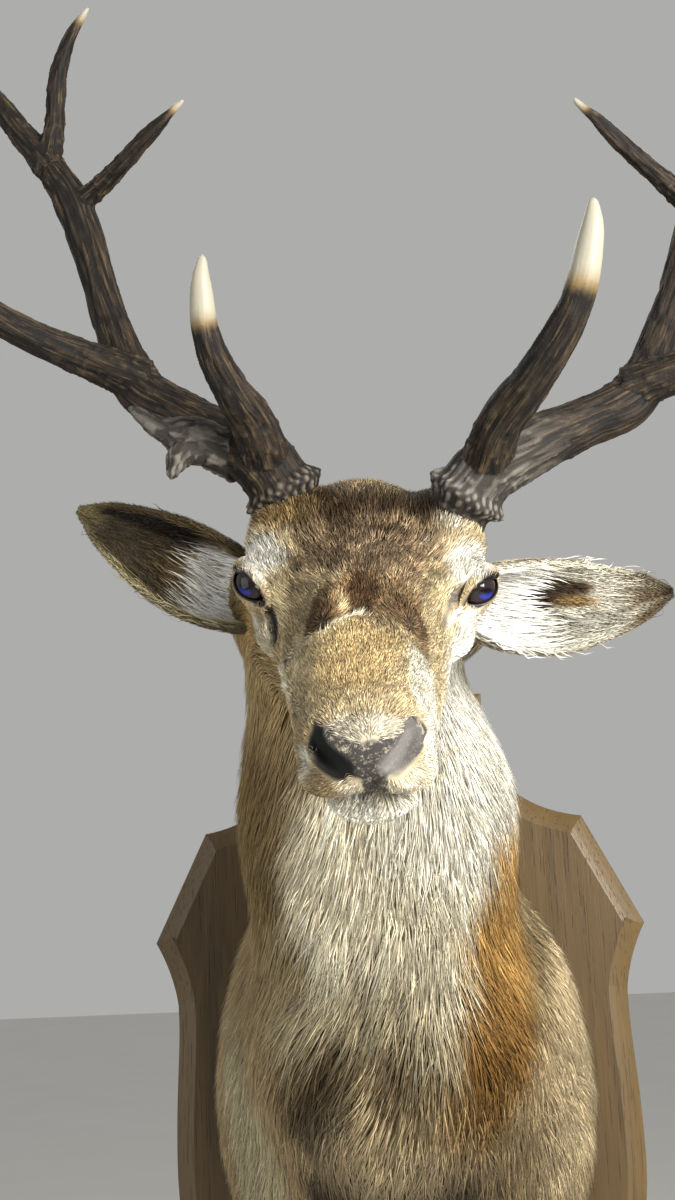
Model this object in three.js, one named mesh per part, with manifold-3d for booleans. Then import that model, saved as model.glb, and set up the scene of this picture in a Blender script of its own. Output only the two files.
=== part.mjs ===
// Red deer stag, head and neck mounted on an oak shield. Millimetres, +Z up.
// The origin is on the shield's flat back, midway up it. The wall lies in the plane y = 0, the stag looks
// towards -Y, and +X is to the right of someone who faces it. "left" and "right" in names are the animal's own.
import * as THREE from "three";
import { mergeVertices } from "three/addons/utils/BufferGeometryUtils.js";
import Module from "manifold-3d";

const wasm = await Module();
wasm.setup();

const { PI, abs, cos, exp, hypot, max, min, sin } = Math;
const DEGREE = PI / 180;
const GAP = 0.3; // clear space between touching pieces
const RIGHT = -1; // the animal's right is towards -X
const LEFT = 1;

// ---------- driving sizes ----------
const SHIELD = {
  thickness: 25,
  bevel: 20, // width of the sloping edge round the front
  bevelDepth: 11,
  top: 392,
  bottom: -383,
  halfBlock: 106, // the raised block at the top
  halfCorner: 206,
  cornerHeight: 253,
  halfPoint: 264, // the widest points
  pointHeight: 137,
  halfWaist: 241,
  waistHeight: 71,
  halfBelly: 246,
  bellyHeight: -91,
};

const HEAD = {
  eyeLine: [15, -500, 413], // midpoint between the pupils
  pitch: 33, // the face looks down by this much
  yaw: 2.1,
  roll: 5.1,
  twist: 6.5, // the muzzle turns back by this much on its way to the nose
  noseReach: 262, // from the eye line to the front of the nose
};
const EYE = { radius: 19.5, apart: 84, forward: 7, up: 9 };

const ANTLER = {
  foot: [25, -470, 502], // midpoint between the two burrs
  roll: 5.4,
  sides: 10,
  tineSides: 8,
};

const EAR = { halfWidth: 40, thickness: 6.5 };
const COAT_BACK = -SHIELD.thickness - GAP; // where the neck meets the shield

// ---------- small maths ----------
const mix = (a, b, t) => a + (b - a) * t;
const clamp = (v, low, high) => min(max(v, low), high);
const ease = (t) => t * t * (3 - 2 * t);

// A uniform Catmull-Rom curve through rows of numbers, at t counted in rows.
function along(rows, t) {
  const last = rows.length - 1;
  const i = clamp(Math.floor(t), 0, last - 1);
  const f = t - i;
  const row = (k) => rows[clamp(k, 0, last)];
  return rows[0].map((_, c) => {
    const [p, q, r, s] = [row(i - 1)[c], row(i)[c], row(i + 1)[c], row(i + 2)[c]];
    const slopeA = (r - p) / 2;
    const slopeB = (s - q) / 2;
    return q + f * (slopeA + f * (3 * (r - q) - 2 * slopeA - slopeB + f * (2 * (q - r) + slopeA + slopeB)));
  });
}

// ---------- the head's own axes ----------
// across (+X side), forward (towards the nose) and up (away from the jaw), rolled about forward.
function headAxes() {
  const [yaw, pitch, roll] = [HEAD.yaw, HEAD.pitch, HEAD.roll].map((d) => d * DEGREE);
  const forward = new THREE.Vector3(sin(yaw) * cos(pitch), -cos(yaw) * cos(pitch), -sin(pitch));
  const level = new THREE.Vector3(cos(yaw), sin(yaw), 0);
  const up = new THREE.Vector3().crossVectors(level, forward).negate();
  const across = level.clone().multiplyScalar(cos(roll)).addScaledVector(up, -sin(roll));
  up.multiplyScalar(cos(roll)).addScaledVector(level, sin(roll));
  return { across, forward, up };
}
const AXES = headAxes();
const EYE_LINE = new THREE.Vector3(...HEAD.eyeLine);

const twistAt = (forward) => HEAD.twist * DEGREE * clamp(forward / HEAD.noseReach, 0, 1);

function toHead(point) {
  const d = new THREE.Vector3(...point).sub(EYE_LINE);
  const [a, b, c] = [d.dot(AXES.across), d.dot(AXES.forward), d.dot(AXES.up)];
  const t = twistAt(b);
  return [a * cos(t) + c * sin(t), b, c * cos(t) - a * sin(t)];
}

function fromHead([a, b, c]) {
  const t = twistAt(b);
  return EYE_LINE.clone()
    .addScaledVector(AXES.across, a * cos(t) - c * sin(t))
    .addScaledVector(AXES.forward, b)
    .addScaledVector(AXES.up, c * cos(t) + a * sin(t));
}

// ---------- the body as blended masses ----------
// Each mass is an egg (centre, three radii) or a limb (two centres, two radii). A distance below 0 is inside.
const egg = (at, size, blend = 14) => ({ at, size, blend });
const limb = (at, radius, to, radiusTo, blend = 14) => ({ at, radius, to, radiusTo, blend });
const pair = (mass) =>
  [LEFT, RIGHT].map((side) => ({
    ...mass,
    at: [side * mass.at[0], mass.at[1], mass.at[2]],
    ...(mass.to && { to: [side * mass.to[0], mass.to[1], mass.to[2]] }),
  }));

// In the head's axes: across, forward, up from the eye line.
const SKULL = [
  egg([0, -48, -4], [74, 94, 50]), // cranium
  egg([0, 6, 8], [68, 64, 37], 26), // forehead
  limb([0, -95, -6], 62, [0, -140, -40], 70, 30), // back of the head
  ...pair(egg([76, 2, 9], [27, 38, 28], 16)), // rim of the orbit
  ...pair(limb([14, 34, 15], 31, [13, 214, -7], 23, 22)), // bridge of the nose
  ...pair(limb([34, 30, -28], 38, [21, 206, -28], 26, 20)), // side of the upper jaw
  egg([0, 223, -21], [46, 34, 32], 14), // end of the muzzle
  egg([0, 246, -13], [38, 18, 20], 8), // nose pad
  ...pair(egg([22, 233, -36], [25, 25, 14], 8)), // upper lip
  egg([2, 222, -58], [32, 31, 16], 7), // chin
  ...pair(limb([34, -44, -84], 28, [10, 198, -51], 18, 16)), // lower jaw
  ...pair(egg([50, -34, -50], [30, 60, 47], 22)), // cheek muscle
  ...pair(limb([72, 34, -26], 13, [84, -70, -24], 16, 18)), // cheekbone
  ...pair(egg([86, -98, -46], [37, 38, 48], 24)), // root of the ear
  ...pair(limb([46, -62, 26], 33, [69, -76, 44], 28, 14)), // pedicle under the antler
  ...pair(egg([70, -44, 26], [30, 40, 30], 16)), // temple
];
const HOLLOWS = [
  ...pair(egg([96, 25, 12], [19, 19, 13], 4)), // opening between the lids
  limb([-76, 30, 4], 3.6, [-69, 52, -20], 2.8, 4), // gland in front of the right eye
  limb([71, 35, 16], 4.4, [62, 53, -8], 3.4, 4), // and of the left
  ...pair(limb([32, 243, -4], 5.5, [19, 263, -19], 8.5, 4)), // nostril
];

// In the mount's axes.
const NECK = [
  limb([-17, -402, 388], 86, [4, -308, 246], 121, 30),
  limb([4, -308, 246], 121, [2, -228, 136], 118, 40),
  limb([2, -228, 136], 118, [6, -150, 60], 168, 40),
  limb([6, -150, 60], 168, [2, -50, -14], 187, 40),
  limb([2, -60, -20], 185, [2, -40, -74], 179, 40),
  limb([2, -425, 452], 66, [-2, -30, 226], 112, 60), // nape
  limb([4, -352, 268], 88, [6, -292, 52], 118, 50), // mane down the throat
  limb([6, -286, 40], 118, [6, -60, -80], 168, 50), // brisket
];

function massDistance(mass, [x, y, z]) {
  const [px, py, pz] = [x - mass.at[0], y - mass.at[1], z - mass.at[2]];
  if (mass.size) {
    const [rx, ry, rz] = mass.size;
    const near = hypot(px / rx, py / ry, pz / rz);
    const slope = hypot(px / (rx * rx), py / (ry * ry), pz / (rz * rz));
    return slope < 1e-9 ? -min(rx, ry, rz) : (near * (near - 1)) / slope;
  }
  const [ax, ay, az] = mass.to.map((v, i) => v - mass.at[i]);
  const t = clamp((px * ax + py * ay + pz * az) / (ax * ax + ay * ay + az * az), 0, 1);
  return hypot(px - ax * t, py - ay * t, pz - az * t) - mix(mass.radius, mass.radiusTo, t);
}

// Joins two distances with a fillet about `blend` wide.
function blended(a, b, blend) {
  const h = max(blend - abs(a - b), 0) / blend;
  return min(a, b) - (h * h * blend) / 4;
}

function bodyDistance(point) {
  const local = toHead(point);
  let d = Infinity;
  for (const mass of SKULL) d = blended(d, massDistance(mass, local), mass.blend);
  for (const hollow of HOLLOWS) d = -blended(-d, massDistance(hollow, local), hollow.blend);
  for (const mass of NECK) d = blended(d, massDistance(mass, point), mass.blend);
  return d;
}

// ---------- the body's surface ----------
// Stations of a line inside the body, from the muzzle to the wall: x, y, z, and how far the cut tilts.
const headStation = (forward, up, tilt) => [...fromHead([0, forward, up]).toArray(), tilt];
const SPINE = [
  headStation(216, -22, HEAD.pitch),
  headStation(125, -19, HEAD.pitch),
  headStation(42, -18, 24),
  headStation(-40, -18, -4),
  [10, -402, 394, -28],
  [5, -340, 330, -44],
  [7, -230, 232, -36],
  [7, -120, 158, -16],
  [6, COAT_BACK, 120, 0],
];
const FRONT_ROWS = 5; // rows over the front of the muzzle
const COLUMNS = 30;
const FURTHEST = 330;

function spineAt(t) {
  const [x, y, z, tilt] = along(SPINE, t);
  return { centre: [x, y, z], tilt: tilt * DEGREE };
}

// The first point outwards from the centre where the distance reaches `grow`.
function surfaceAlong(centre, direction, grow = 0) {
  const at = (r) => centre.map((v, i) => v + direction[i] * r);
  const step = FURTHEST / 80;
  let inner = 0;
  while (inner < FURTHEST && bodyDistance(at(inner + step)) < grow) inner += step;
  let outer = inner + step;
  for (let i = 0; i < 14; i++) {
    const middle = (inner + outer) / 2;
    if (bodyDistance(at(middle)) < grow) inner = middle;
    else outer = middle;
  }
  return at((inner + outer) / 2);
}

// One ring of the surface. `open` is 90 degrees where the ring is cut square to the spine, less over the nose.
function bodyRing(t, open = PI / 2, grow = 0) {
  const { centre, tilt } = spineAt(t);
  const ring = [];
  for (let i = 0; i < COLUMNS; i++) {
    const turn = (2 * PI * i) / COLUMNS;
    const outward = sin(open);
    const direction = [
      outward * sin(turn),
      -cos(open) * cos(tilt) - outward * cos(turn) * sin(tilt),
      -cos(open) * sin(tilt) + outward * cos(turn) * cos(tilt),
    ];
    ring.push(surfaceAlong(centre, direction, grow));
  }
  return ring;
}

// ---------- closed meshes from rings ----------
function geometryOf(points, triangles) {
  const geometry = new THREE.BufferGeometry();
  geometry.setAttribute("position", new THREE.Float32BufferAttribute(points.flat(), 3));
  geometry.setIndex(triangles);
  return geometry;
}

// The walls between rings of equal length.
function wallsOf(rings) {
  const count = rings[0].length;
  const triangles = [];
  for (let r = 0; r < rings.length - 1; r++) {
    for (let i = 0; i < count; i++) {
      const [a, b] = [r * count + i, r * count + ((i + 1) % count)];
      triangles.push(a, b, b + count, a, b + count, a + count);
    }
  }
  return triangles;
}

// Rings become one closed solid. Each end closes on its own middle point, or the start on a given tip.
function loft(rings, startTip = null) {
  const count = rings[0].length;
  const middle = (ring) => ring.reduce((s, p) => s.map((v, i) => v + p[i] / count), [0, 0, 0]);
  const start = rings.length * count;
  const triangles = wallsOf(rings);
  for (let i = 0; i < count; i++) {
    const j = (i + 1) % count;
    triangles.push(start, j, i, start + 1, start - count + i, start - count + j);
  }
  return geometryOf([...rings.flat(), startTip ?? middle(rings[0]), middle(rings.at(-1))], triangles);
}

// The same for rings that run out along one face of a thin sheet and home along the other.
function sheetLoft(rings) {
  const count = rings[0].length;
  const end = (rings.length - 1) * count;
  const triangles = wallsOf(rings);
  for (let i = 0; i < count / 2 - 1; i++) {
    const [a, b, c, d] = [i, i + 1, count - 2 - i, count - 1 - i];
    triangles.push(a, c, b, a, d, c, end + a, end + b, end + c, end + a, end + c, end + d);
  }
  return geometryOf(rings.flat(), triangles);
}

// A three.js geometry as a manifold-3d solid, turned outwards if it was made inside out.
function toSolid(geometry) {
  const bare = geometry.clone();
  bare.deleteAttribute("normal");
  bare.deleteAttribute("uv");
  const merged = mergeVertices(bare, 1e-4);
  const triVerts = new Uint32Array(merged.index.array);
  const build = () =>
    new wasm.Manifold(new wasm.Mesh({ numProp: 3, vertProperties: merged.attributes.position.array, triVerts }));
  let solid = build();
  if (solid.volume() < 0) {
    for (let i = 0; i < triVerts.length; i += 3) {
      [triVerts[i], triVerts[i + 1]] = [triVerts[i + 1], triVerts[i]];
    }
    solid = build();
  }
  return solid;
}

// The largest body of a solid, without the slivers that a cut can leave.
function largest(solid) {
  return solid.decompose().sort((a, b) => b.volume() - a.volume())[0];
}

const group = new THREE.Group();
function add(name, solid, material) {
  const mesh = largest(solid).getMesh();
  const geometry = new THREE.BufferGeometry();
  const step = mesh.numProp;
  const positions = new Float32Array(mesh.numVert * 3);
  for (let i = 0; i < mesh.numVert; i++) {
    positions.set(mesh.vertProperties.subarray(i * step, i * step + 3), i * 3);
  }
  geometry.setAttribute("position", new THREE.BufferAttribute(positions, 3));
  geometry.setIndex(new THREE.BufferAttribute(mesh.triVerts, 1));
  geometry.computeVertexNormals();
  const made = new THREE.Mesh(geometry, material);
  made.name = name;
  group.add(made);
}

// Everything on the side of a plane that its normal points to, as a large block.
function halfSpace(point, normal) {
  const size = 3000;
  const block = new THREE.BoxGeometry(size, size, size);
  block.translate(0, 0, size / 2);
  const turn = new THREE.Quaternion().setFromUnitVectors(new THREE.Vector3(0, 0, 1), normal);
  block.applyQuaternion(turn);
  block.translate(point.x, point.y, point.z);
  return toSolid(block);
}

// Both sides of a plane, with a thin gap between them: first the side that the normal points to.
function halves(solid, point, normal) {
  const shift = normal.clone().multiplyScalar(GAP / 2);
  const away = normal.clone().negate();
  return [
    solid.intersect(halfSpace(point.clone().add(shift), normal)),
    solid.intersect(halfSpace(point.clone().sub(shift), away)),
  ];
}

// ---------- materials ----------
const finish = (color, roughness, metalness = 0) => new THREE.MeshStandardMaterial({ color, roughness, metalness });
const OAK = finish(0x7d6541, 0.5);
const COAT = finish(0x9a8763, 0.95);
const FACE_COAT = finish(0x8a7450, 0.92);
const NOSE = finish(0x3c3a3a, 0.5);
const EAR_COAT = finish(0xa59a80, 0.95);
const GLASS_EYE = finish(0x0d0f1c, 0.06);
const ANTLER_BONE = finish(0x4a3b2a, 0.62);

// ---------- shield ----------
function shieldOutline() {
  const s = SHIELD;
  const shape = new THREE.Shape();
  const halfBottomPoint = 120;
  shape.moveTo(0, s.bottom);
  shape.bezierCurveTo(40, s.bottom + 38, halfBottomPoint, s.bottom + 52, 170, s.bottom + 108);
  shape.bezierCurveTo(206, s.bottom + 150, s.halfBelly, s.bellyHeight - 120, s.halfBelly, s.bellyHeight);
  shape.bezierCurveTo(s.halfBelly, s.bellyHeight + 80, s.halfWaist - 2, s.waistHeight - 50, s.halfWaist, s.waistHeight);
  shape.quadraticCurveTo(s.halfWaist + 5, s.waistHeight + 34, s.halfPoint, s.pointHeight);
  shape.lineTo(s.halfCorner, s.cornerHeight);
  shape.bezierCurveTo(150, s.cornerHeight + 8, s.halfBlock + 2, s.cornerHeight + 40, s.halfBlock, s.top - 48);
  shape.lineTo(s.halfBlock, s.top);
  const half = shape.getPoints(4);
  const mirrored = half.slice(1).reverse().map((p) => new THREE.Vector2(-p.x, p.y));
  return [...half, ...mirrored];
}

// Moves each corner of a closed outline inwards by the same width.
function inset(outline, width) {
  return outline.map((p, i) => {
    const before = outline.at(i - 1);
    const after = outline[(i + 1) % outline.length];
    const edgeIn = p.clone().sub(before).normalize();
    const edgeOut = after.clone().sub(p).normalize();
    const normalIn = new THREE.Vector2(-edgeIn.y, edgeIn.x);
    const normalOut = new THREE.Vector2(-edgeOut.y, edgeOut.x);
    const bisector = normalIn.clone().add(normalOut).normalize();
    return p.clone().addScaledVector(bisector, width / max(bisector.dot(normalOut), 0.5));
  });
}

function shieldGeometry() {
  const outline = shieldOutline();
  const levels = [
    [outline, 0],
    [outline, -(SHIELD.thickness - SHIELD.bevelDepth)],
    [inset(outline, SHIELD.bevel), -SHIELD.thickness],
  ];
  const rings = levels.map(([ring, y]) => ring.map((p) => [p.x, y, p.y]));
  const triangles = wallsOf(rings);
  for (const [a, b, c] of THREE.ShapeUtils.triangulateShape(levels[0][0], [])) triangles.push(a, c, b);
  const front = 2 * outline.length;
  for (const [a, b, c] of THREE.ShapeUtils.triangulateShape(levels[2][0], [])) {
    triangles.push(front + a, front + b, front + c);
  }
  return geometryOf(rings.flat(), triangles);
}
add("shield_board", toSolid(shieldGeometry()), OAK);

// ---------- antlers ----------
// Paths in the antlers' own frame: outwards, back and up from midway between the burrs, then the thickness.
const BEAM = [
  [62, 12, -26, 52],
  [76, 0, 0, 56],
  [96, -6, 25, 57],
  [130, 4, 47, 50],
  [170, 20, 71, 43],
  [214, 34, 101, 44],
  [247, 48, 164, 34],
  [273, 58, 229, 32],
  [297, 62, 287, 36],
  [326, 62, 330, 30],
];
const BEAM_FORK = 5.35; // the place on the beam, in rows, where the upper beam starts
const BROW_TINE = [
  [88, -6, 14, 44],
  [98, -46, 45, 37],
  [118, -82, 70, 31],
  [137, -113, 104, 26],
  [145, -131, 146, 19],
  [146, -137, 170, 9],
];
const BEZ_STUB = [
  [112, 0, 30, 46],
  [149, -22, 38, 40],
  [176, -36, 42, 22],
  [200, -42, 56, 9],
];
// The knob that the misgrown tine carries on its underside.
const BEZ_LOBE = [
  [140, -18, 34, 34],
  [156, -30, 24, 26],
  [163, -36, 8, 16],
  [164, -38, 0, 9],
];
const TREZ_TINE = [
  [208, 30, 104, 42],
  [262, 14, 121, 33],
  [300, -14, 129, 30],
  [334, -52, 140, 27],
  [366, -80, 166, 20],
  [384, -92, 200, 8],
];
const CROWN_TINES = {
  inner: [
    [296, 62, 284, 30],
    [270, 49, 299, 20],
    [240, 29, 317, 17],
    [214, 14, 337, 14],
    [188, 5, 360, 6],
  ],
  middle: [
    [326, 62, 318, 30],
    [321, 58, 362, 20],
    [319, 50, 408, 17],
    [310, 44, 442, 13],
    [293, 40, 474, 6],
  ],
  outer: [
    [322, 62, 324, 32],
    [362, 66, 370, 24],
    [398, 72, 414, 20],
    [420, 72, 454, 15],
    [430, 70, 486, 6],
  ],
};
const BURR = { row: 1.0, width: 0.22, rise: 0.36, pearls: 11, pearlRise: 0.07 };
// What differs between the two: how far the beam leans in above the fork, and the brow tine's reach.
const LEFT_ANTLER = { side: LEFT, lean: 0.12, brow: [31, 0, 26], browScale: 1.12 };
const RIGHT_ANTLER = { side: RIGHT, lean: 0, brow: [-15, 4, -20], browScale: 0.9 };

function antlerPlace(antler, [out, back, up]) {
  const lean = antler.lean * max(up - 105, 0);
  const x = antler.side * (out - lean);
  const roll = ANTLER.roll * DEGREE;
  const [footX, footY, footZ] = ANTLER.foot;
  return [footX + x * cos(roll) + up * sin(roll), footY + back, footZ + up * cos(roll) - x * sin(roll)];
}

// A tapering horn along a path, square to it all the way. `grow` makes it thicker all round, for cutting.
function horn(antler, path, { from = 0, to = path.length - 1, rings, sides, tip = false, swell = () => 1, grow = 0 }) {
  const place = (t) => new THREE.Vector3(...antlerPlace(antler, along(path, t)));
  const made = [];
  let side = new THREE.Vector3(0, 1, 0);
  for (let i = 0; i <= rings; i++) {
    const share = tip ? 1 - (1 - i / rings) ** 1.25 : i / rings;
    const t = mix(from, to, share);
    const tangent = place(min(t + 0.02, path.length - 1)).sub(place(max(t - 0.02, 0))).normalize();
    side = side.clone().addScaledVector(tangent, -side.dot(tangent)).normalize();
    const other = new THREE.Vector3().crossVectors(tangent, side);
    const centre = place(t);
    const radius = along(path, t)[3] / 2;
    made.push(
      Array.from({ length: sides }, (_, k) => {
        const turn = (2 * PI * k) / sides;
        const r = radius * swell(t, turn) + grow;
        return centre.clone().addScaledVector(side, r * cos(turn)).addScaledVector(other, r * sin(turn)).toArray();
      }),
    );
  }
  return toSolid(loft(made));
}

// The burr's ring of pearls, and a slight ridging of the whole beam.
const burrSwell = (t, turn) => {
  const bump = exp(-(((t - BURR.row) / BURR.width) ** 2));
  return 1 + bump * (BURR.rise + BURR.pearlRise * sin(BURR.pearls * turn)) + 0.03 * sin(3 * turn + 2 * t);
};
const ridged = (t, turn) => 1 + 0.04 * sin(3 * turn + 1.7 * t);

function antlerPieces(antler) {
  const fork = { rings: 6, sides: ANTLER.tineSides, tip: true, swell: ridged };
  const brow = BROW_TINE.map(([out, back, up, thick], i) => {
    const share = ease(i / (BROW_TINE.length - 1));
    const [dx, dy, dz] = antler.brow.map((v) => v * share);
    return [out + dx, back + dy, up + dz, mix(thick, thick * antler.browScale, share)];
  });
  const base = (grow = 0) =>
    horn(antler, BEAM, { to: BEAM_FORK, rings: 16, sides: ANTLER.sides, swell: burrSwell, grow });
  const lower = base();
  const aroundLower = base(GAP);
  const upperFrom = BEAM_FORK + 0.006;
  const upperOptions = { from: upperFrom, rings: 8, sides: ANTLER.sides, swell: ridged };
  const upper = horn(antler, BEAM, upperOptions);
  const aroundUpper = horn(antler, BEAM, { ...upperOptions, grow: GAP });
  const pieces = { beam_lower: lower, beam_upper: upper };
  pieces.brow_tine = horn(antler, brow, fork).subtract(aroundLower);
  pieces.trez_tine = horn(antler, TREZ_TINE, fork).subtract(aroundLower).subtract(aroundUpper);
  if (antler.side === RIGHT) {
    const brownBrow = horn(antler, brow, { ...fork, grow: GAP });
    const lobe = horn(antler, BEZ_LOBE, { ...fork, rings: 4 });
    pieces.bez_stub = horn(antler, BEZ_STUB, { ...fork, rings: 5 }).add(lobe).subtract(aroundLower).subtract(brownBrow);
  }
  let crown = aroundUpper;
  for (const [place, path] of Object.entries(CROWN_TINES)) {
    pieces["crown_tine_" + place] = horn(antler, path, fork).subtract(crown);
    crown = crown.add(horn(antler, path, { ...fork, grow: GAP }));
  }
  return pieces;
}

// ---------- ears ----------
// A leaf rolled into a cup. Each ring runs out along the back of the ear and home along its hollow.
const EAR_WIDTH = [0.5, 0.72, 0.93, 1.0, 0.96, 0.8, 0.52, 0.08]; // half width along the ear, as a share
const EAR_ROLL = [150, 128, 104, 88, 76, 64, 52, 40]; // degrees that each side of the ear curls round
const EAR_COLUMNS = 8;
const EAR_ROWS = 10;
const LEFT_EAR = {
  path: [
    [84, -415, 420],
    [140, -428, 408],
    [200, -418, 408],
    [274, -398, 418],
  ],
  facing: [0.1, -0.96, -0.22],
};
const RIGHT_EAR = {
  path: [
    [-62, -415, 418],
    [-118, -430, 446],
    [-178, -420, 482],
    [-248, -398, 528],
  ],
  facing: [-0.1, -0.97, -0.16],
};

function earGeometry(ear) {
  const rings = [];
  const facing = new THREE.Vector3(...ear.facing).normalize();
  const place = (t) => new THREE.Vector3(...along(ear.path, t * (ear.path.length - 1)));
  for (let row = 0; row <= EAR_ROWS; row++) {
    const t = row / EAR_ROWS;
    const share = t * (EAR_WIDTH.length - 1);
    const halfWidth = EAR.halfWidth * along(EAR_WIDTH.map((v) => [v]), share)[0];
    const curl = along(EAR_ROLL.map((v) => [v]), share)[0] * DEGREE;
    const tangent = place(min(t + 0.01, 1)).sub(place(max(t - 0.01, 0))).normalize();
    const width = new THREE.Vector3().crossVectors(tangent, facing).normalize();
    const hollow = new THREE.Vector3().crossVectors(width, tangent);
    const radius = halfWidth / sin(min(curl, PI / 2));
    const wall = min(EAR.thickness, 1.2 * halfWidth) / 2;
    const centre = place(t);
    const point = (turn, r) =>
      centre.clone().addScaledVector(width, r * sin(turn)).addScaledVector(hollow, radius * 0.5 - r * cos(turn));
    const ring = [];
    for (const [start, end, r] of [
      [-1, 1, radius + wall],
      [1, -1, radius - wall],
    ]) {
      for (let k = 0; k < EAR_COLUMNS; k++) {
        ring.push(point(curl * mix(start, end, k / (EAR_COLUMNS - 1)), r).toArray());
      }
    }
    rings.push(ring);
  }
  return sheetLoft(rings);
}

// ---------- putting the animal together ----------
const eyeCentres = Object.fromEntries(
  [["left", LEFT], ["right", RIGHT]].map(([name, side]) => [name, fromHead([side * EYE.apart, EYE.forward, EYE.up])]),
);
const eyeball = (centre, grow = 0) => {
  const ball = new THREE.SphereGeometry(EYE.radius + grow, 16, 10);
  ball.translate(centre.x, centre.y, centre.z);
  return toSolid(ball);
};

const antlers = { left: antlerPieces(LEFT_ANTLER), right: antlerPieces(RIGHT_ANTLER) };
const ears = { left: LEFT_EAR, right: RIGHT_EAR };

// Rows of the body: over the nose first, then along the spine.
const { centre: muzzleStart, tilt: muzzleTilt } = spineAt(0);
const rows = (from, to, count, grow) =>
  Array.from({ length: count + 1 }, (_, i) => bodyRing(mix(from, to, i / count), PI / 2, grow));
function headAndNose(end, grow) {
  const front = Array.from({ length: FRONT_ROWS - 1 }, (_, i) =>
    bodyRing(0, ((i + 1) / FRONT_ROWS) * (PI / 2), grow),
  );
  const noseTip = surfaceAlong(muzzleStart, [0, -cos(muzzleTilt), -sin(muzzleTilt)], grow);
  return toSolid(loft([...front, ...rows(0, end, 24, grow)], noseTip));
}
const CUT = 0.0018; // half the gap between lengths, in stations
const HEAD_END = 4.35;
const NECK_MIDDLE = 5.55;
const NECK_END = 6.75;

let skull = headAndNose(HEAD_END - CUT, 0);
for (const centre of Object.values(eyeCentres)) skull = skull.subtract(eyeball(centre, GAP));
// What the antlers and ears are cut with, so that they stand on the head.
const neckRows = (from, to, count, grow = 0) => toSolid(loft(rows(from + CUT, to - CUT, count, grow)));
const aroundHead = headAndNose(HEAD_END - CUT, GAP).add(neckRows(HEAD_END - CUT, NECK_MIDDLE, 7, GAP));

// The lower jaw parts along the line of the mouth, the nose pad by a cut behind it, the muzzle by one square to the face.
const mouthCorner = fromHead([0, 258, -43]);
const mouthNormal = AXES.up.clone().multiplyScalar(cos(6 * DEGREE)).addScaledVector(AXES.forward, -sin(6 * DEGREE));
const [upperHead, lowerJaw] = halves(skull, mouthCorner, mouthNormal);
const [muzzle, cranium] = halves(upperHead, fromHead([0, 104, 0]), AXES.forward);
const padNormal = AXES.forward.clone().multiplyScalar(cos(12 * DEGREE)).addScaledVector(AXES.up, sin(12 * DEGREE));
const [nosePad, muzzleRest] = halves(muzzle, fromHead([0, 238, 0]), padNormal);

add("head_skull", cranium, FACE_COAT);
add("muzzle", muzzleRest, FACE_COAT);
add("nose_pad", nosePad, NOSE);
add("lower_jaw", lowerJaw, COAT);
add("neck_upper", neckRows(HEAD_END, NECK_MIDDLE, 7), COAT);
add("neck_lower", neckRows(NECK_MIDDLE, NECK_END, 6), COAT);
add("shoulder", neckRows(NECK_END, SPINE.length - 1 + CUT, 6), COAT);
for (const [side, centre] of Object.entries(eyeCentres)) add("eye_" + side, eyeball(centre), GLASS_EYE);
for (const [side, ear] of Object.entries(ears)) {
  add("ear_" + side, toSolid(earGeometry(ear)).subtract(aroundHead), EAR_COAT);
}
for (const [side, pieces] of Object.entries(antlers)) {
  for (const [name, solid] of Object.entries(pieces)) {
    add(`antler_${side}_${name}`, name === "beam_lower" ? solid.subtract(aroundHead) : solid, ANTLER_BONE);
  }
}

export default group;
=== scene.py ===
import math

import bpy
import numpy as np
from mathutils import Matrix, Vector


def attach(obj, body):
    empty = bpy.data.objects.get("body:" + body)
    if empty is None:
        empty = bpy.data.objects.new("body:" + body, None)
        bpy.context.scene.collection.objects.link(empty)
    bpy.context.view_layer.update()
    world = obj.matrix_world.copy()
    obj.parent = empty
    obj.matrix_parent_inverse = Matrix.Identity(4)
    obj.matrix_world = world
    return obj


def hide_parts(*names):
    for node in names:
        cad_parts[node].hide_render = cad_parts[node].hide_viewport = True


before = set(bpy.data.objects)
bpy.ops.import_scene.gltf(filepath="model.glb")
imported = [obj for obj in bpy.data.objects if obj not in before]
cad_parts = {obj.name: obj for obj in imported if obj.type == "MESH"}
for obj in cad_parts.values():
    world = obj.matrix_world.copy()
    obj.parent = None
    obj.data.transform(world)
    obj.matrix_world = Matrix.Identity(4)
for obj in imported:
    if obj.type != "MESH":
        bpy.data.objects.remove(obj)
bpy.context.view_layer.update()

# Millimetres until put_mesh(). +X is to the right of someone who faces the stag, -Y towards them, +Z up,
# and the wall is the plane y = 0. "left" and "right" are the stag's own.


# ---------- shield ----------
# A board of olive-brown oak 25 thick, sawn to a shield with a raised block at its top.
# Its front edge is planed to a bevel 20 wide and 11 deep. It is stained and rubbed with satin varnish.
SHIELD_TOP, SHIELD_BOTTOM = 392, -383
BLOCK_HALF = 106
CORNER, POINT, WAIST, BELLY = (206, 253), (264, 137), (241, 71), (246, -91)
# From the foot up, each curve's pulling corners and its end.
SHIELD_CURVES = [
    [(40, -345), (120, -331), (170, -275)],
    [(206, -233), (246, -211), BELLY],
    [(246, -11), (239, 21), WAIST],
    [(246, 105), POINT],
    [CORNER],
    [(150, 261), (108, 293), (BLOCK_HALF, 344)],
]
# Rings of the board's surface: how far in from the outline, how deep, and how much part of the bevel.
SHIELD_RINGS = [
    (0.8, 0, 0), (0, -0.8, 0), (0, -13.2, 0.3), (0.5, -14.2, 1),
    (7, -18.18, 1), (14, -22.03, 1), (19.3, -24.5, 1), (20.6, -25, 0),
]


def bezier(corners, count):
    """A curve from its first corner towards its last: the sum of Bernstein shares of the corners."""
    corners = np.asarray(corners, float)
    degree = len(corners) - 1
    t = np.linspace(0, 1, count, endpoint=False)[:, None]
    return sum(math.comb(degree, k) * t**k * (1 - t) ** (degree - k) * c for k, c in enumerate(corners))


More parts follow.
